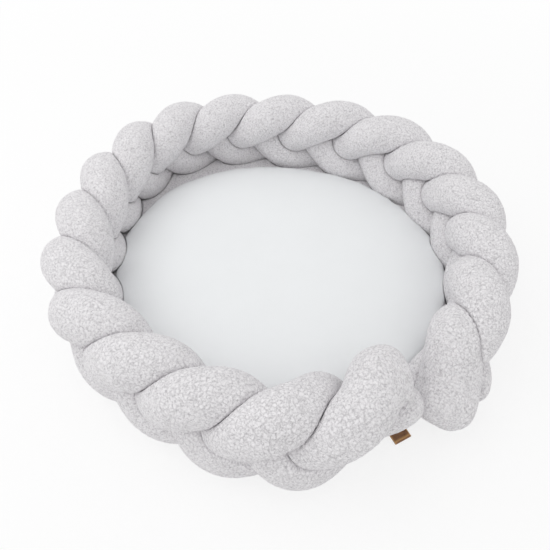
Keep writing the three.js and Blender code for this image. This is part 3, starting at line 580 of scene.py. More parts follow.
# The tree sweeps a circle along the middle line. Where a neighbour presses, the skin stops half
# way between the two tubes; on the floor it lies flat; then the loops of the boucle are raised.
def makeTubeTree():
    tree, given = newTree("stuffedTube", [
        ("Start Neighbours", "Object"), ("Finish Neighbours", "Object"), ("Sides", "Int"),
        *((label, "Float") for label in tubeLabels[1:]), ("Seed", "Float"),
        ("Material", "Material")])
    number, vector = "ShaderNodeMath", "ShaderNodeVectorMath"
    known = {name: addNode(tree, "GeometryNodeInputNamedAttribute", {"Name": name}, data_type=kind)
             for kind, names in (("FLOAT_VECTOR", ("centre", "flareWay", "bend", "way", "root")),
                                 ("FLOAT", ("tubeRadius", "flare", "pastMiddle", "press")))
             for name in names}
    tiny = 0.001

    # Sums in a row, each on what the one before it gives
    def chain(kind, value, *sums):
        for operation, *others in sums:
            value = addNode(tree, kind, dict(enumerate([value, *others])), operation=operation)
        return value

    def beyond(start, way, distance):
        return chain(vector, way, ("MULTIPLY", distance), ("ADD", start))

    line = addNode(tree, "GeometryNodeMeshToCurve", {"Mesh": given["Geometry"]})
    circle = addNode(tree, "GeometryNodeCurvePrimitiveCircle",
                     {"Resolution": given["Sides"], "Radius": tiny})
    shape = addNode(tree, "GeometryNodeCurveToMesh",
                    {"Curve": line, "Profile Curve": circle, "Fill Caps": True})
    place = addNode(tree, "GeometryNodeInputPosition")
    way = chain(vector, place, ("SUBTRACT", known["centre"]), ("NORMALIZE",))
    across = chain(vector, known["way"], ("DOT_PRODUCT", known["flareWay"]))
    across = chain(number, across, ("MULTIPLY", given["Flare Spread"]), ("MAXIMUM", -1.0),
                   ("MINIMUM", 1.0), ("MULTIPLY", known["flare"]))
    root = beyond(known["centre"], known["flareWay"], across)
    farOff = chain(number, known["tubeRadius"], ("MULTIPLY", given["Far Radii"]),
                   ("MAXIMUM", given["Far Least"]))
    for name, value, kind in (("way", way, "FLOAT_VECTOR"), ("root", root, "FLOAT_VECTOR"),
                              ("press", farOff, "FLOAT")):
        shape = addNode(tree, "GeometryNodeStoreNamedAttribute",
                        {"Geometry": shape, "Name": name, "Value": value},
                        data_type=kind, domain="POINT")

    # Each pass brings the skin nearer to the plane half way to the closest neighbour
    zoneIn = addNode(tree, "GeometryNodeRepeatInput")
    zoneOut = addNode(tree, "GeometryNodeRepeatOutput")
    zoneIn.pair_with_output(zoneOut)
    zoneIn.inputs["Iterations"].default_value = plait["pressPasses"]
    tree.links.new(shape.outputs[0], zoneIn.inputs["Geometry"])
    probe = beyond(known["root"], known["way"], known["press"])
    nearest = []
    for label in ("Start Neighbours", "Finish Neighbours"):
        cloud = addNode(tree, "GeometryNodeObjectInfo", {"Object": given[label]}).outputs["Geometry"]
        index = addNode(tree, "GeometryNodeSampleNearest",
                        {"Geometry": cloud, "Sample Position": probe})
        nearest.append([addNode(tree, "GeometryNodeSampleIndex",
                                {"Geometry": cloud, "Value": value, "Index": index},
                                data_type=kind, domain="POINT")
                        for value, kind in ((place, "FLOAT_VECTOR"), (known["tubeRadius"], "FLOAT"))])
    spot = addNode(tree, "ShaderNodeMix",
                   {0: known["pastMiddle"], 4: nearest[0][0], 5: nearest[1][0]}, data_type="VECTOR")
    size = addNode(tree, "ShaderNodeMix",
                   {0: known["pastMiddle"], 2: nearest[0][1], 3: nearest[1][1]}, data_type="FLOAT")
    apart = chain(vector, spot, ("SUBTRACT", known["root"]))
    span = chain(number, chain(vector, apart, ("LENGTH",)), ("MAXIMUM", tiny / 10))
    facing = chain(number, chain(vector, known["way"], ("DOT_PRODUCT", apart)), ("DIVIDE", span),
                   ("MAXIMUM", given["Shallowest"]))
    own, other = (chain(number, radius, ("POWER", 2.0)) for radius in (known["tubeRadius"], size))
    uneven = chain(number, own, ("SUBTRACT", other),
                   ("DIVIDE", chain(number, span, ("MULTIPLY", 2.0))))
    halfWay = chain(number, span, ("MULTIPLY_ADD", 0.5, uneven))
    halfWay = chain(number, given["Gap"], ("MULTIPLY_ADD", -0.5, halfWay))
    closer = chain(number, halfWay, ("DIVIDE", facing), ("MAXIMUM", given["Least Reach"]),
                   ("MINIMUM", known["press"]))
    pressed = addNode(tree, "GeometryNodeStoreNamedAttribute",
                      {"Geometry": zoneIn.outputs["Geometry"], "Name": "press", "Value": closer},
                      data_type="FLOAT", domain="POINT")
    tree.links.new(pressed.outputs[0], zoneOut.inputs["Geometry"])

    # The crease is rounded, the inside of a bend is held back, and the floor cuts the rest
    sharpness = given["Crease Sharpness"]
    reach = chain(number, known["tubeRadius"], ("DIVIDE", known["press"]), ("POWER", sharpness),
                  ("ADD", 1.0), ("POWER", chain(number, -1.0, ("DIVIDE", sharpness))),
                  ("MULTIPLY", known["tubeRadius"]))
    turning = chain(number, chain(vector, known["way"], ("DOT_PRODUCT", known["bend"])),
                    ("MAXIMUM", tiny))
    heights = [addNode(tree, "ShaderNodeSeparateXYZ", {0: value}).outputs["Z"]
               for value in (known["way"], known["root"], place)]
    down = chain(number, heights[0], ("MULTIPLY", -1.0), ("MAXIMUM", tiny))
    for top, bottom in ((given["Bend Share"], turning), (heights[1], down)):
        reach = chain(number, top, ("DIVIDE", bottom), ("MINIMUM", reach))
    shape = addNode(tree, "GeometryNodeSetPosition",
                    {"Geometry": zoneOut.outputs["Geometry"],
                     "Position": beyond(known["root"], known["way"], reach)})

    seed = addNode(tree, "ShaderNodeCombineXYZ", {0: given["Seed"]})
    moved = chain(vector, place, ("ADD", seed))
    scales = [chain(number, 1.0, ("DIVIDE", given[label]))
              for label in ("Nap Spacing", "Lump Spacing")]
    loops = addNode(tree, "ShaderNodeTexVoronoi", {"Vector": moved, "Scale": scales[0]},
                    feature="F1")
    lumps = addNode(tree, "ShaderNodeTexNoise",
                    {"Vector": moved, "Scale": scales[1], "Detail": 1.0})
    nap = chain(number, 0.5, ("SUBTRACT", loops), ("MULTIPLY", given["Nap Height"]))
    aboveFloor = addNode(tree, "ShaderNodeMapRange",
                         {"Value": heights[2], "From Min": given["Flat Below"],
                          "From Max": given["Full Above"]})
    raised = chain(number, lumps, ("SUBTRACT", 0.5), ("MULTIPLY_ADD", given["Lump Height"], nap),
                   ("MULTIPLY", aboveFloor))
    offset = chain(vector, addNode(tree, "GeometryNodeInputNormal"), ("MULTIPLY", raised))
    shape = addNode(tree, "GeometryNodeSetPosition", {"Geometry": shape, "Offset": offset})
    endTree(tree, shape, given["Material"])
    return tree


# Finishes that several pieces share
def finishPiece(piece, material, body, slot, *nodes):
    if material is not None:
        piece.data.materials.clear()
        piece.data.materials.append(material)
    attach(piece, body)
    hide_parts(*nodes)
    return piece


def makeTube(strand, tree):
    name = "boucleTube%d" % (strand + 1)
    clouds = [neighbourCloud(name + label, strand, fromStart)
              for label, fromStart in (("StartNeighbours", True), ("FinishNeighbours", False))]
    stations = strandStations(strand, plait["rings"])
    rows = {key: [] for key in ("centre", "tubeRadius", "flare", "flareWay", "bend", "pastMiddle")}
    tipTurns = np.arange(1, plait["tipRings"] + 1) / plait["tipRings"]
    tipTurns = tipTurns * (math.pi / 2) * plait["tipClosing"]

    def addTip(i, cloud, outwards, turns):
        centre, along = stations["centre"][i], stations["along"][i] * outwards
        reach = tipReach(centre, along, stations["tubeRadius"][i], cloud)
        for turn in turns:
            rows["centre"].append(centre + along * reach * math.sin(turn))
            rows["tubeRadius"].append(stations["tubeRadius"][i] * math.cos(turn))
            rows["flare"].append(stations["flare"][i])
            rows["flareWay"].append(stations["flareWay"][i])
            rows["bend"].append(np.zeros(3))
            rows["pastMiddle"].append(outwards > 0)

    addTip(0, clouds[0], -1, tipTurns[::-1])
    for key in rows:
        if key in stations:
            rows[key].extend(stations[key])
    rows["pastMiddle"].extend(stations["distance"] > ringLength / 2)
    addTip(-1, clouds[1], 1, tipTurns)
    count = len(rows["centre"])
    tube = meshObject(name, rows["centre"], [], [(i, i + 1) for i in range(count - 1)])
    for key, values in rows.items():
        addAttribute(tube, key, "FLOAT" if np.ndim(values[0]) == 0 else "FLOAT_VECTOR", values)
    values = {label: plait[label[0].lower() + label[1:].replace(" ", "")] for label in tubeLabels}
    runTree(tube, tree, {**values, "Start Neighbours": clouds[0], "Finish Neighbours": clouds[1],
                         "Seed": float(strand), "Material": boucle})
    for cloud in clouds:
        bpy.data.objects.remove(cloud)
    for key in (*rows, "way", "root", "press"):
        if key in tube.data.attributes:
            tube.data.attributes.remove(tube.data.attributes[key])
    return tube


tubeTree = makeTubeTree()
tubes = []
for strand in range(3):
    tube = finishPiece(makeTube(strand, tubeTree), None, "nest", "boucle",
                       "strand_cover_%d" % (strand + 1), "strand_filling_%d" % (strand + 1))
    tubes.append(tube)
    print("tube", strand + 1, len(tube.data.polygons), "faces")

# One small rounded stitch on every point, laid along that point's own way
def makeStitchTree():
    tree, given = newTree("sewnStitches", [
        ("Length", "Float"), ("Thickness", "Float"), ("Material", "Material")])
    bead = addNode(tree, "GeometryNodeMeshUVSphere", {"Segments": 6, "Rings": 4, "Radius": 0.5})
    size = addNode(tree, "ShaderNodeCombineXYZ",
                   {0: given["Length"], 1: given["Thickness"], 2: given["Thickness"]})
    way = addNode(tree, "GeometryNodeInputNamedAttribute", {"Name": "way"}, data_type="FLOAT_VECTOR")
    turn = addNode(tree, "FunctionNodeAlignRotationToVector", {"Vector": way}, axis="X")
    laid = addNode(tree, "GeometryNodeInstanceOnPoints",
                   {"Points": given["Geometry"], "Instance": bead, "Rotation": turn, "Scale": size})
    endTree(tree, laid, given["Material"])
    return tree


stitchTree = makeStitchTree()


def makeStitches(name, points, ways, size, material, body):
    stitches = meshObject(name, points, [])
    addAttribute(stitches, "way", "FLOAT_VECTOR", ways)
    runTree(stitches, stitchTree, {"Length": size[0], "Thickness": size[1], "Material": material})
    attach(stitches, body)
    return stitches


def ringAngles(count):
    return np.linspace(0, fullTurn, count, endpoint=False)


# How far a CAD node reaches from the nest's middle in every direction, between two heights: the
# farthest corner in each slice, joined and smoothed
def outlineOf(node, low, high, angles, slices=72, innermost=0.2):
    points = np.array([v.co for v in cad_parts[node].data.vertices]) - nestMiddle
    points = points[(points[:, 2] >= low) & (points[:, 2] <= high)]
    reaches = np.hypot(points[:, 0], points[:, 1])
    points, reaches = points[reaches > innermost], reaches[reaches > innermost]
    turns = np.arctan2(points[:, 1], points[:, 0]) % fullTurn
    most = np.zeros(slices)
    np.maximum.at(most, np.round(turns * slices / fullTurn).astype(int) % slices, reaches)
    found = np.flatnonzero(most)
    places = np.concatenate([found - slices, found, found + slices]) * fullTurn / slices
    rough = np.interp(angles, places, np.tile(most[found], 3))
    kernel = np.hanning(2 * round(len(angles) / 60) + 1)
    smooth = np.convolve(np.tile(rough, 3), kernel / kernel.sum(), "same")
    return smooth[len(angles):2 * len(angles)]


def swell(angles, degrees, spread):
    apart = (angles - math.radians(degrees) + math.pi) % fullTurn - math.pi
    return np.exp(-(apart / math.radians(spread)) ** 2)


# A smooth random line round the ring, from -1 to 1, with a given number of features
def ringNoise(angles, features, seed):
    random = np.random.default_rng(seed)
    spots = random.uniform(-1, 1, features)
    places = np.linspace(0, fullTurn, features + 1)
    share = np.interp(angles, places, np.arange(features + 1))
    low = np.floor(share).astype(int) % features
    part = share - np.floor(share)
    part = part * part * (3 - 2 * part)
    return spots[low] * (1 - part) + spots[(low + 1) % features] * part


def ringOf(angles, reach, height):
    points = np.stack([reach * np.cos(angles), reach * np.sin(angles), height + 0 * angles], -1)
    return points + nestMiddle


def roundBody(name, angles, rows, lowPole, highPole):
    rings = np.array([ringOf(angles, reach, height) for reach, height in rows])
    poles = [nestMiddle + [0, 0, z] for z in (lowPole, highPole)]
    return skinObject(name, rings, poles)


# Base cushion
base = {
    "panelHeight": 0.012,
    "topFoot": 0.0123,
    "height": 0.03,
    "edgeRound": 0.004,
    "overhang": 0.05,
    "clearance": 0.0008,
    "seamWidth": 0.001,
    "dish": 0.0012,  # pressed in a little under the mattress
    "dishWidth": 0.12,
    "waveHeight": 0.0006,
    "topHeights": (0.0, 0.031),  # between which the CAD's top is measured, and its panel
    "panelHeights": (-0.001, 0.0121),
    "quiltSpacing": 0.058,
    "quiltDepth": 0.0022,
    "quiltWidth": 0.007,
    "quiltFade": 0.04,  # share of the way in over which it fades at the edge
    "quiltLines": 6,  # on each side of the middle one
    "quiltReach": 0.36,
    "stitchSpacing": 0.0045,
    "stitchLength": 0.0032,
    "stitchSunk": 0.3,  # share of its thickness
    "stitchClearance": 0.002,
    "threadThickness": 0.0006,
    "stitchMargin": 0.022,  # from the panel's edge
    "recessMargin": 0.0172,
    "recessWidth": 0.036,
    "recessCeiling": 0.0003,  # above the tape
    "slotWidth": 0.013,
    "cutBeyond": 0.02,
    "directions": 1440,
    "panelDirections": 540,
    "panelRings": 96,
    "fill": 0.45,
}


tubeTrees = [BVHTree.FromObject(tube, bpy.context.evaluated_depsgraph_get()) for tube in tubes]


# How far a piece may reach at a height before it meets a tube
def freeReach(angles, height, farthest=0.6):
    start = Vector(nestMiddle + [0, 0, height])
    ways = [Vector((math.cos(angle), math.sin(angle), 0)) for angle in angles]
    hits = [[tree.ray_cast(start, way, farthest)[3] or farthest for tree in tubeTrees]
            for way in ways]
    return np.min(hits, axis=1)


# The same reach, shortened to stay clear and smoothed along the ring
def pressedReach(angles, wanted, height, clearance, width):
    free = np.minimum(wanted, freeReach(angles, height) - clearance)
    lap = 3 * width
    least = np.min([np.roll(free, shift) for shift in range(-width, width + 1)], axis=0)
    kernel = np.hanning(2 * width + 3)
    kernel /= kernel.sum()
    return np.convolve(np.concatenate([least[-lap:], least, least[:lap]]), kernel, "same")[lap:-lap]


# The base runs out under the lobes, as far as the tubes leave room
def makeBaseTop():
    angles = ringAngles(base["directions"])
    edge = outlineOf("base_top_panel", *base["topHeights"], angles) + base["overhang"]
    low, high, turn, seam = (base[key] for key in ("topFoot", "height", "edgeRound", "seamWidth"))

    def reachAt(height):
        return pressedReach(angles, edge, height, base["clearance"], 1)

    rows = [(reachAt(low) * share, low) for share in (0.2, 0.6, 0.9)]
    rows.append((reachAt(low) - seam, low))
    rows.extend((reachAt(height), height) for height in np.linspace(low + seam, high - turn, 5))
    for angle in np.linspace(0, math.pi / 2, 7)[1:]:
        height = high - turn * (1 - math.sin(angle))
        rows.append((reachAt(height) - turn * (1 - math.cos(angle)), height))
    inner = rows[-1][0]
    waves = base["waveHeight"] * ringNoise(angles, 30, 11)
    for share in np.linspace(1, 0.02, 36)[1:]:
        sink = base["dish"] * np.clip((1 - share) / base["dishWidth"], 0, 1) ** 2
        rows.append((inner * share, high - sink + waves * share * (1 - share)))
    return roundBody("baseTop", angles, rows, low, high - base["dish"])


# The zip's recess in the underside, and the slot through which the filling goes in
tapeLow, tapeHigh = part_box("zip_tape_front")[0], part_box("zip_tape_back")[1]
zipRow = (tapeLow.y + tapeHigh.y) / 2
zipRecess, zipSlot = (
    ((tapeLow.x - margin, zipRow - width / 2, -base["cutBeyond"]),
     (tapeHigh.x + margin, zipRow + width / 2, ceiling))
    for margin, width, ceiling in (
        (base["recessMargin"], base["recessWidth"], tapeHigh.z + base["recessCeiling"]),
        (0, base["slotWidth"], base["cutBeyond"])))


def makeBasePanel():
    angles = ringAngles(base["panelDirections"])
    edge = outlineOf("base_bottom_panel", *base["panelHeights"], angles)
    turn = base["panelHeight"] / 2

    def quilt(reach):
        points = ringOf(angles, reach, 0)
        depth = 0 * angles
        for way in (1, -1):
            along = (points[:, 0] + way * points[:, 1]) / math.sqrt(2) / base["quiltSpacing"]
            apart = np.abs(along - np.round(along)) * base["quiltSpacing"]
            depth = np.maximum(depth, np.exp(-(apart / (base["quiltWidth"] / 2)) ** 2))
        return depth * base["quiltDepth"]

    rows = []
    for share in np.linspace(0.01, 1, base["panelRings"]):
        reach = (edge - turn) * share
        rows.append((reach, quilt(reach) * np.clip((1 - share) / base["quiltFade"], 0, 1)))
    for angle in np.linspace(0, math.pi, 9)[1:]:
        rows.append((edge - turn + turn * math.sin(angle), turn * (1 - math.cos(angle))))
    rows.extend((edge * share, base["panelHeight"]) for share in (0.9, 0.5, 0.1))
    panel = roundBody("basePanel", angles, rows, 0.0, base["panelHeight"])
    for (west, south, bottom), (east, north, top) in (zipRecess, zipSlot):
        corners = [(x, y, z) for z in (bottom, top)
                   for x, y in ((west, south), (east, south), (east, north), (west, north))]
        walls = [(i, (i + 1) % 4, (i + 1) % 4 + 4, i + 4) for i in range(4)]
        cutter = meshObject("cutter", corners, [(3, 2, 1, 0), (4, 5, 6, 7), *walls])
        cut = panel.modifiers.new("recess", "BOOLEAN")
        cut.operation = "DIFFERENCE"
        cut.solver = "EXACT"
        cut.object = cutter
        settle(panel)
        bpy.data.objects.remove(cutter)
    return panel


baseTop = finishPiece(makeBaseTop(), boucle, "nest", "boucle", "base_top_panel", "base_wadding")
basePanel = finishPiece(makeBasePanel(), lining, "nest", "lining", "base_bottom_panel")


# Running stitches along the bottoms of the quilting channels, outside the zip's recess
def quiltStitches():
    directions = 720
    edge = outlineOf("base_bottom_panel", *base["panelHeights"], ringAngles(directions))
    low, high = np.array(zipRecess)[:, :2]
    points, ways = [], []
    span = np.arange(-base["quiltReach"], base["quiltReach"], base["stitchSpacing"])
    height = base["quiltDepth"] - base["stitchSunk"] * base["threadThickness"]
    for way in (1, -1):
        for line in range(-base["quiltLines"], base["quiltLines"] + 1):
            across = line * base["quiltSpacing"]
            flat = np.stack([across + span, way * (across - span)], -1) / math.sqrt(2)
            turns = np.degrees(np.arctan2(flat[:, 1], flat[:, 0])) % 360 / 360 * directions
            reach = edge[turns.astype(int) % directions] - base["stitchMargin"]
            inside = np.hypot(flat[:, 0], flat[:, 1]) < reach
            flat = flat + nestMiddle[:2]
            room = base["stitchClearance"]
            clear = ((flat < low - room) | (flat > high + room)).any(axis=1)
            for x, y in flat[inside & clear]:
                points.append((x, y, height))
                ways.append((1, -way, 0))
    return makeStitches("quiltingStitches", points, ways,
                        (base["stitchLength"], base["threadThickness"]), thread, "nest")


quilting = quiltStitches()
print("base", len(baseTop.data.polygons), "and", len(basePanel.data.polygons), "faces,",
      len(quilting.data.polygons), "of stitching")

# Mattress
mattress = {
    "foot": 0.0303,
    "rise": 0.034,
    "seamRise": 0.006,
    "underInset": 0.014,
    "hemWidth": 0.034,
    "hemDepth": 0.0022,
    "sheetHeights": (0.03, 0.066),  # between which the CAD sheet is measured, and its hem
    "hemHeights": (0.03, 0.033),
    "bandWidth": 0.006,
    "bandHeight": 0.0011,  # above the foot
    "bandThickness": 0.0012,
    "ruffle": 0.00033,
    "ruffles": 150,
    "hemStitches": 420,
    "hemStitchReach": 0.004,  # outward from the band
    "stitch": (0.0026, 0.0006),
    "foamDirections": 360,
    "foamInset": 0.0075,
    "foamRound": (0.0005, 0.0004),  # inward and up
    "foamRoom": (0.0006, 0.0002),  # under and over it
    "foamFill": 1.0,
    "tuck": 0.004,  # pressed in against the tubes
    "bulges": [(168, 22, 0.02), (120, 10, -0.008), (2, 18, 0.011), (340, 10, 0.006),
               (250, 55, 0.006)],  # degrees, spread and size
    "crownPower": 2.8,
    "crownRoot": 0.5,
    "gathers": [(0.6, (190, 21)), (0.4, (90, 22))],  # share, then how many and their seed
    "gathersAt": [(62, 50), (20, 30)],  # degrees and spread
    "gathersElsewhere": 0.35,
    "gatherDepth": 0.0016,
    "gatherReach": 0.05,
    "clearance": 0.0005,
    "directions": 1080,
    "crownRings": 70,
    "fill": 0.75,
}


def makeMattress():
    angles = ringAngles(mattress["directions"])
    edge = outlineOf("mattress_sheet", *mattress["sheetHeights"], angles) + mattress["tuck"]
    for degrees, spread, size in mattress["bulges"]:
        edge = edge + size * swell(angles, degrees, spread)

    def pressed(reach, height):
        return pressedReach(angles, reach, height, mattress["clearance"], 2)

    foot, seamRise, inset, hemWidth, hemDepth = (
        mattress[key] for key in ("foot", "seamRise", "underInset", "hemWidth", "hemDepth"))
    rise = mattress["rise"] - seamRise
    hem = edge - inset - hemWidth
    rows = [(hem * share, foot + hemDepth) for share in (0.1, 0.5, 0.8, 0.98)]
    rows.append((hem, foot + hemDepth / 2))
    rows.extend((hem + hemWidth * share, foot) for share in (0.05, 0.3, 0.6, 1.0))
    for angle in np.linspace(0, math.pi / 2, 6)[1:]:
        height = foot + seamRise * (1 - math.cos(angle))
        rows.append((pressed(edge - inset * (1 - math.sin(angle)), height), height))
    gathers = sum(share * ringNoise(angles, *noise) for share, noise in mattress["gathers"])
    strength = sum(swell(angles, *spot) for spot in mattress["gathersAt"])
    least = mattress["gathersElsewhere"]
    gathers = gathers * (least + (1 - least) * np.clip(strength, 0, 1))
    for step in np.linspace(0, 1, mattress["crownRings"] + 1)[1:-1]:
        share = math.cos(step * math.pi / 2) ** 0.8
        crown = (1 - share ** mattress["crownPower"]) ** mattress["crownRoot"]
        height = foot + seamRise + rise * crown
        near = np.clip(1 - edge * (1 - share) / mattress["gatherReach"], 0, 1) ** 1.5
        reach = edge * share
        if share > 0.8:
            reach = pressed(reach, height)
        rows.append((reach, height + mattress["gatherDepth"] * gathers * near))
    return roundBody("mattressPad", angles, rows, foot + hemDepth, foot + seamRise + rise)


# The outer edge of the CAD's elastic, from which the hem's pieces are measured
def hemReach(angles):
    return outlineOf("hem_elastic", *mattress["hemHeights"], angles)


# The elastic in the hem draws it in, so that the band ripples
def makeHemBand():
    angles = ringAngles(mattress["directions"])
    outer = hemReach(angles)
    inner = outer - mattress["bandWidth"]
    ripple = np.sin(mattress["ruffles"] * angles + 1.5 * ringNoise(angles, 40, 31))
    height = mattress["foot"] + mattress["bandHeight"] + mattress["ruffle"] * ripple
    half = mattress["bandThickness"] / 2
    lower = [(inner, -0.6), (inner + half, -1), (outer - half, -1), (outer, -0.6)]
    rows = lower + [(reach, -side) for reach, side in reversed(lower)]
    sections = np.stack([ringOf(angles, reach, height + side * half) for reach, side in rows], 1)
    return skinObject("hemBand", sections)


def makeFoamPanel():
    angles = ringAngles(mattress["foamDirections"])
    edge = hemReach(angles) - mattress["foamInset"]
    (inward, up), (under, over) = mattress["foamRound"], mattress["foamRoom"]
    low, high = mattress["foot"] + under, mattress["foot"] + mattress["hemDepth"] - over
    rows = [(edge * share, low) for share in (0.1, 0.4, 0.7, 0.95)]
    rows.extend([(edge - inward, low), (edge, low + up), (edge, high)])
    rows.extend((edge * share, high) for share in (0.95, 0.5, 0.1))
    return roundBody("foamPanel", angles, rows, low, high)


def makeHemStitches():
    angles = ringAngles(mattress["hemStitches"])
    points = ringOf(angles, hemReach(angles) + mattress["hemStitchReach"], mattress["foot"])
    ways = np.roll(points, -1, axis=0) - np.roll(points, 1, axis=0)
    makeStitches("hemStitches", points, ways, mattress["stitch"], thread, "mattress")


mattressPad = finishPiece(makeMattress(), jersey, "mattress", "cotton", "mattress_sheet",
                          "mattress_core")
hemBand = finishPiece(makeHemBand(), elasticBand, "mattress", "elastic", "hem_elastic")
foamPanel = finishPiece(makeFoamPanel(), foam, "mattress", "foam")
makeHemStitches()
print("mattress", len(mattressPad.data.polygons), "faces")

# Zip
fastener = {
    "coilPitch": 0.0013,
    "wireRadius": 0.00028,
    "coilSides": 6,
    "coilSteps": 10,
    "brokenEdge": 0.0002,
    # The tape's side view from the coil out: share of its width, share of half its thickness
    "tapeSection": [(0.0, 0.6), (0.03, 1), (0.1, 1), (0.14, 0.7), (0.45, 0.62), (0.78, 0.7),
                    (0.82, 0.95), (0.87, 0.95), (0.9, 0.7), (0.97, 0.62), (1.0, 0.4)],
    "tapeStations": 60,
    "stitchSpacing": 0.003,
    "stitchMargin": 0.002,
    "stitchShare": 0.62,  # how far out on the tape the row runs
    "stitch": (0.0022, 0.0005),
}


# A nylon coil is one wire wound into a flattened helix
def makeCoilTree():
    tree, given = newTree("zipCoil", [
        ("Turns", "Float"), ("Steps", "Int"), ("Wire Radius", "Float"), ("Sides", "Int"),
        ("Size", "Vector"), ("Start", "Vector"), ("Material", "Material")])
    parts = addNode(tree, "ShaderNodeSeparateXYZ", {0: given["Size"]})
    helix = addNode(tree, "GeometryNodeCurveSpiral",
                    {"Resolution": given["Steps"], "Rotations": given["Turns"], "Start Radius": 0.5,
                     "End Radius": 0.5, "Height": parts.outputs["X"]})
    flat = addNode(tree, "ShaderNodeCombineXYZ",
                   {0: parts.outputs["Z"], 1: parts.outputs["Y"], 2: 1.0})
    laid = addNode(tree, "GeometryNodeTransform",
                   {"Geometry": helix, "Scale": flat, "Rotation": (0, math.pi / 2, 0),
                    "Translation": given["Start"]})
    wire = addNode(tree, "GeometryNodeCurvePrimitiveCircle",
                   {"Resolution": given["Sides"], "Radius": given["Wire Radius"]})
    coil = addNode(tree, "GeometryNodeCurveToMesh",
                   {"Curve": laid, "Profile Curve": wire, "Fill Caps": True})
    endTree(tree, coil, given["Material"])
    return tree


coilTree = makeCoilTree()
for side, outward in (("front", -1), ("back", 1)):
    low, high = (Vector(corner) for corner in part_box("zip_coil_" + side))
    wire = fastener["wireRadius"]
    size = high - low - Vector((2, 2, 2)) * wire
    coil = meshObject("zipCoil" + side.capitalize(), [(0, 0, 0)], [])
    runTree(coil, coilTree, {
        "Turns": round(size.x / fastener["coilPitch"]), "Steps": fastener["coilSteps"],
        "Wire Radius": wire, "Sides": fastener["coilSides"], "Size": size,
        "Start": Vector((low.x + wire, (low.y + high.y) / 2, (low.z + high.z) / 2)),
        "Material": nylon})
    finishPiece(coil, None, "nest", "nylon", "zip_coil_" + side)

    low, high = (Vector(corner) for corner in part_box("zip_tape_" + side))
    inner = low.y if side == "back" else high.y
    middle, half = (low.z + high.z) / 2, (high.z - low.z) / 2
    width = high.y - low.y
    section = fastener["tapeSection"]
    around = section + [(across, -rise) for across, rise in reversed(section)]
    rings = [[(x, inner + outward * across * width, middle + rise * half) for across, rise in around]
             for x in np.linspace(low.x, high.x, fastener["tapeStations"])]
    tape = skinObject("zipTape" + side.capitalize(), rings,
                      [(x, inner + outward * width / 2, middle) for x in (low.x, high.x)])
    finishPiece(tape, zipTape, "nest", "zip_tape", "zip_tape_" + side)

    across, margin = fastener["stitchShare"], fastener["stitchMargin"]
    points = [(x, inner + outward * across * width, middle - across * half)
              for x in np.arange(low.x + margin, high.x - margin, fastener["stitchSpacing"])]
    makeStitches("zipStitches" + side.capitalize(), points, [(1, 0, 0)] * len(points),
                 fastener["stitch"], thread, "nest")

for node, name, body in (
        ("zip_stop_closed", "zipStopClosed", "nest"), ("zip_stop_open", "zipStopOpen", "nest"),
        ("zip_slider", "zipSlider", "zip_slider"), ("zip_puller", "zipPuller", "zip_puller")):
    finishPiece(bevelledCopy(node, name, fastener["brokenEdge"]), zinc, body, "zinc", node)
print("zip made")

# Tag: leather folded double, with its fold at the outer end
tag = {
    "place": (0.176314, -0.323886, 0.0005),
    "way": (0.422450, -0.906386, 0.0),
    "width": 0.030,
    "reach": 0.026,
    "hingeGap": 0.0004,
    "rootReach": 0.0275,  # in from the hinge to the base's edge seam
    "leather": 0.0014,
    "layerGap": 0.0005,
    "edgeRound": 0.0004,
    "foldInset": 0.0035,  # where the painted highlight on the fold's bend is strongest, in from its end
    "foldHighlightWidth": 0.0022,
    "edgeHighlightWidth": 0.0012,
    "stitchInset": 0.0025,
    "stitchMargins": (0.003, 0.002),  # of the first stitch and of the last
    "stitchSpacing": 0.0031,
    "stitch": (0.0024, 0.0007),
}
tagWay = Vector(tag["way"])
tagSide = Vector((-tagWay.y, tagWay.x, 0))


def tagPoint(along, across, height):
    return Vector(tag["place"]) + tagWay * along + tagSide * across + Vector((0, 0, height))


# A strip whose outline is given from the side, its cut edges slightly rounded, with a painted
# highlight on its leather at the fold's bend, and along those edges a lighter tone that is partly the
# raw cut edge and partly painted highlight
def makeTagStrip(name, outline, foldAt, body, node):
    outline = np.array(outline)
    tangent = np.roll(outline, -1, axis=0) - np.roll(outline, 1, axis=0)
    tangent /= np.maximum(np.linalg.norm(tangent, axis=1, keepdims=True), 1e-9)
    inward = np.stack([-tangent[:, 1], tangent[:, 0]], -1)
    half, turn = tag["width"] / 2, tag["edgeRound"]
    steps = [(-half, 1.0), (-half + 0.3 * turn, 0.3), (-half + turn, 0.0)]
    steps.extend((across, 0.0) for across in np.linspace(-half, half, 25)[2:-2])
    steps.extend((-across, shrink) for across, shrink in reversed(steps[:3]))
    shape = bmesh.new()
    rings = [[shape.verts.new(tagPoint(x, across, z)) for x, z in outline + inward * shrink * turn]
             for across, shrink in steps]
    for first, second in zip(rings[:-1], rings[1:]):
        for i, corner in enumerate(first):
            j = (i + 1) % len(first)
            shape.faces.new((corner, first[j], second[j], second[i]))
    for cap in (rings[0][::-1], rings[-1]):
        shape.faces.new(cap)
    bmesh.ops.triangulate(shape, faces=[face for face in shape.faces if len(face.verts) > 4])
    bmesh.ops.recalc_face_normals(shape, faces=shape.faces)
    strip = meshObject(name, [], [])
    shape.to_mesh(strip.data)
    shape.free()
    strip.data.shade_smooth()
    strip.data.set_sharp_from_angle(angle=math.radians(50))
    # The painted highlight's share: strongest on the fold's bend, and along the cut edges
    worn = []
    for vertex in strip.data.vertices:
        local = vertex.co - Vector(tag["place"])
        fold = 1 - abs(local.dot(tagWay) - foldAt) / tag["foldHighlightWidth"]
        edge = 1 - (half - abs(local.dot(tagSide))) / tag["edgeHighlightWidth"]
        worn.append(max(0.0, fold, 0.9 * edge))
    addAttribute(strip, "worn", "FLOAT", worn)
    finishPiece(strip, leather, body, "leather", node)


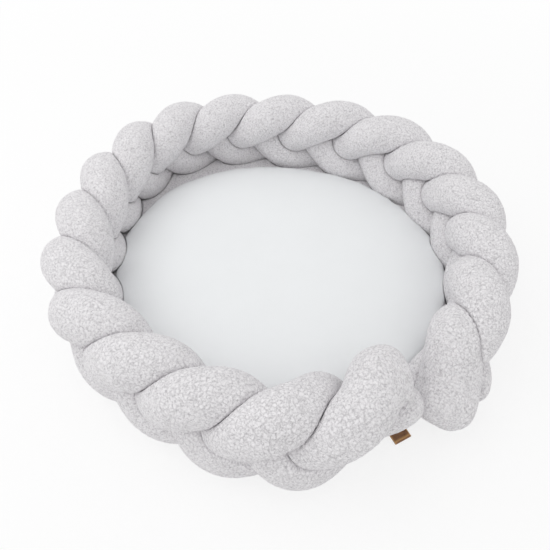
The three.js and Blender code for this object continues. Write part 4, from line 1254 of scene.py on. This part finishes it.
tagHeight = 2 * tag["leather"] + tag["layerGap"]
tagMiddle = tagHeight / 2
foldStart = tag["reach"] - tagMiddle
straight = np.linspace(tag["hingeGap"], foldStart, 16)[:-1]
flapOutline = []
for first, last, radius, turn, count in (
        (0.0, tagHeight, tagMiddle, 1, 17),
        (tagHeight - tag["leather"], tag["leather"], tag["layerGap"] / 2, -1, 9)):
    flapOutline.extend((x, first) for x in straight)
    for angle in np.linspace(-turn * math.pi / 2, turn * math.pi / 2, count):
        flapOutline.append((foldStart + radius * math.cos(angle),
                            tagMiddle + radius * math.sin(angle)))
    flapOutline.extend((x, last) for x in straight[::-1])
makeTagStrip("tagFlap", flapOutline, tag["reach"] - tag["foldInset"], "tag", "tag_flap")
rootSteps = np.linspace(-tag["rootReach"], 0, 14)
rootOutline = [(x, 0.0) for x in rootSteps] + [(x, tagHeight) for x in rootSteps[::-1]]
makeTagStrip("tagRoot", rootOutline, -1.0, "nest", "tag_root")

first, last = tag["stitchMargins"]
rows = np.arange(first - tag["width"] / 2, tag["width"] / 2 - last, tag["stitchSpacing"])
points = [tagPoint(-tag["stitchInset"], across, height) for across in rows
          for height in (0, tagHeight)]
makeStitches("tagStitches", points, [tagSide] * len(points), tag["stitch"], tanThread, "nest")
print("tag made")

# Camera
camera = {
    "aim": (-0.006102, 0.007518, -0.0035),
    "distance": 1.034843,
    "elevation": 51.015,
    "roll": -2.456,
    "focalPixels": 506.577,
    "framePixels": 550,
    "sensor": 36,
}


def placeCamera():
    tilt, roll = math.radians(camera["elevation"]), math.radians(camera["roll"])
    forward = Vector((0, math.cos(tilt), -math.sin(tilt)))
    right = Vector((1, 0, 0))
    up = right.cross(forward)
    turnedRight = right * math.cos(roll) + up * math.sin(roll)
    turnedUp = up * math.cos(roll) - right * math.sin(roll)
    data = bpy.data.cameras.new("camera")
    data.sensor_width = camera["sensor"]
    data.lens = camera["focalPixels"] / camera["framePixels"] * camera["sensor"]
    made = bpy.data.objects.new("camera", data)
    bpy.context.scene.collection.objects.link(made)
    turn = Matrix((turnedRight, turnedUp, -forward)).transposed().to_4x4()
    place = Vector(camera["aim"]) - forward * camera["distance"]
    made.matrix_world = Matrix.Translation(place) @ turn
    bpy.context.scene.camera = made


placeCamera()

# Studio
studio = {
    "ambient": 0.82,
    "keyPower": 8.5,
    "keySize": 1.6,
    "keyPlace": (-1.05, 0.1, 1.75),
    "floorWhite": 0.75,  # how much of the floor's own shade is left out where it is seen
    "fadeFrom": 0.45,  # the floor fades to the backdrop between these distances
    "fadeTo": 1.8,
    "floorSize": 30.0,
    "floorColour": "#fafafa",
}


# Rays that come straight from the camera, or by way of a mirror or glass
def seenRays(tree):
    rays = addNode(tree, "ShaderNodeLightPath").outputs
    seen = rays["Is Camera Ray"]
    for label in ("Is Glossy Ray", "Is Transmission Ray"):
        seen = addNode(tree, "ShaderNodeMath", {0: seen, 1: rays[label]}, operation="MAXIMUM")
    return seen


def makeStudio():
    world = bpy.data.worlds.new("studio")
    world.use_nodes = True
    tree = world.node_tree
    tree.nodes.clear()
    strength = addNode(tree, "ShaderNodeMapRange",
                       {"Value": seenRays(tree), "To Min": studio["ambient"], "To Max": 1.0})
    light = addNode(tree, "ShaderNodeBackground", {"Color": (1, 1, 1, 1), "Strength": strength})
    addNode(tree, "ShaderNodeOutputWorld", {"Surface": light})
    bpy.context.scene.world = world

    key = bpy.data.lights.new("softbox", "AREA")
    key.size = studio["keySize"]
    key.energy = studio["keyPower"]
    lamp = bpy.data.objects.new("softbox", key)
    bpy.context.scene.collection.objects.link(lamp)
    lamp.location = studio["keyPlace"]
    lamp.rotation_euler = (-Vector(studio["keyPlace"])).to_track_quat("-Z", "Y").to_euler()

    half = studio["floorSize"] / 2
    corners = [(-half, -half, 0), (half, -half, 0), (half, half, 0), (-half, half, 0)]
    floor = meshObject("floor", corners, [range(4)])
    material, tree, place = newMaterial("paintedFloor")
    matt = addNode(tree, "ShaderNodeBsdfPrincipled",
                   {"Base Color": linear(studio["floorColour"]), "Roughness": 0.9})
    away = addNode(tree, "ShaderNodeVectorMath", {0: place}, operation="LENGTH")
    fade = addNode(tree, "ShaderNodeMapRange",
                   {"Value": away, "From Min": studio["fadeFrom"], "From Max": studio["fadeTo"],
                    "To Min": studio["floorWhite"]})
    share = addNode(tree, "ShaderNodeMath", {0: seenRays(tree), 1: fade}, operation="MULTIPLY")
    glow = addNode(tree, "ShaderNodeEmission", {"Color": (1, 1, 1, 1), "Strength": 1.0})
    mixed = addNode(tree, "ShaderNodeMixShader", {0: share, 1: matt, 2: glow})
    addNode(tree, "ShaderNodeOutputMaterial", {"Surface": mixed})
    floor.data.materials.append(material)
    floor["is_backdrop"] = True


makeStudio()
bpy.context.scene.view_settings.view_transform = "Standard"
print("studio ready")

low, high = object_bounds()
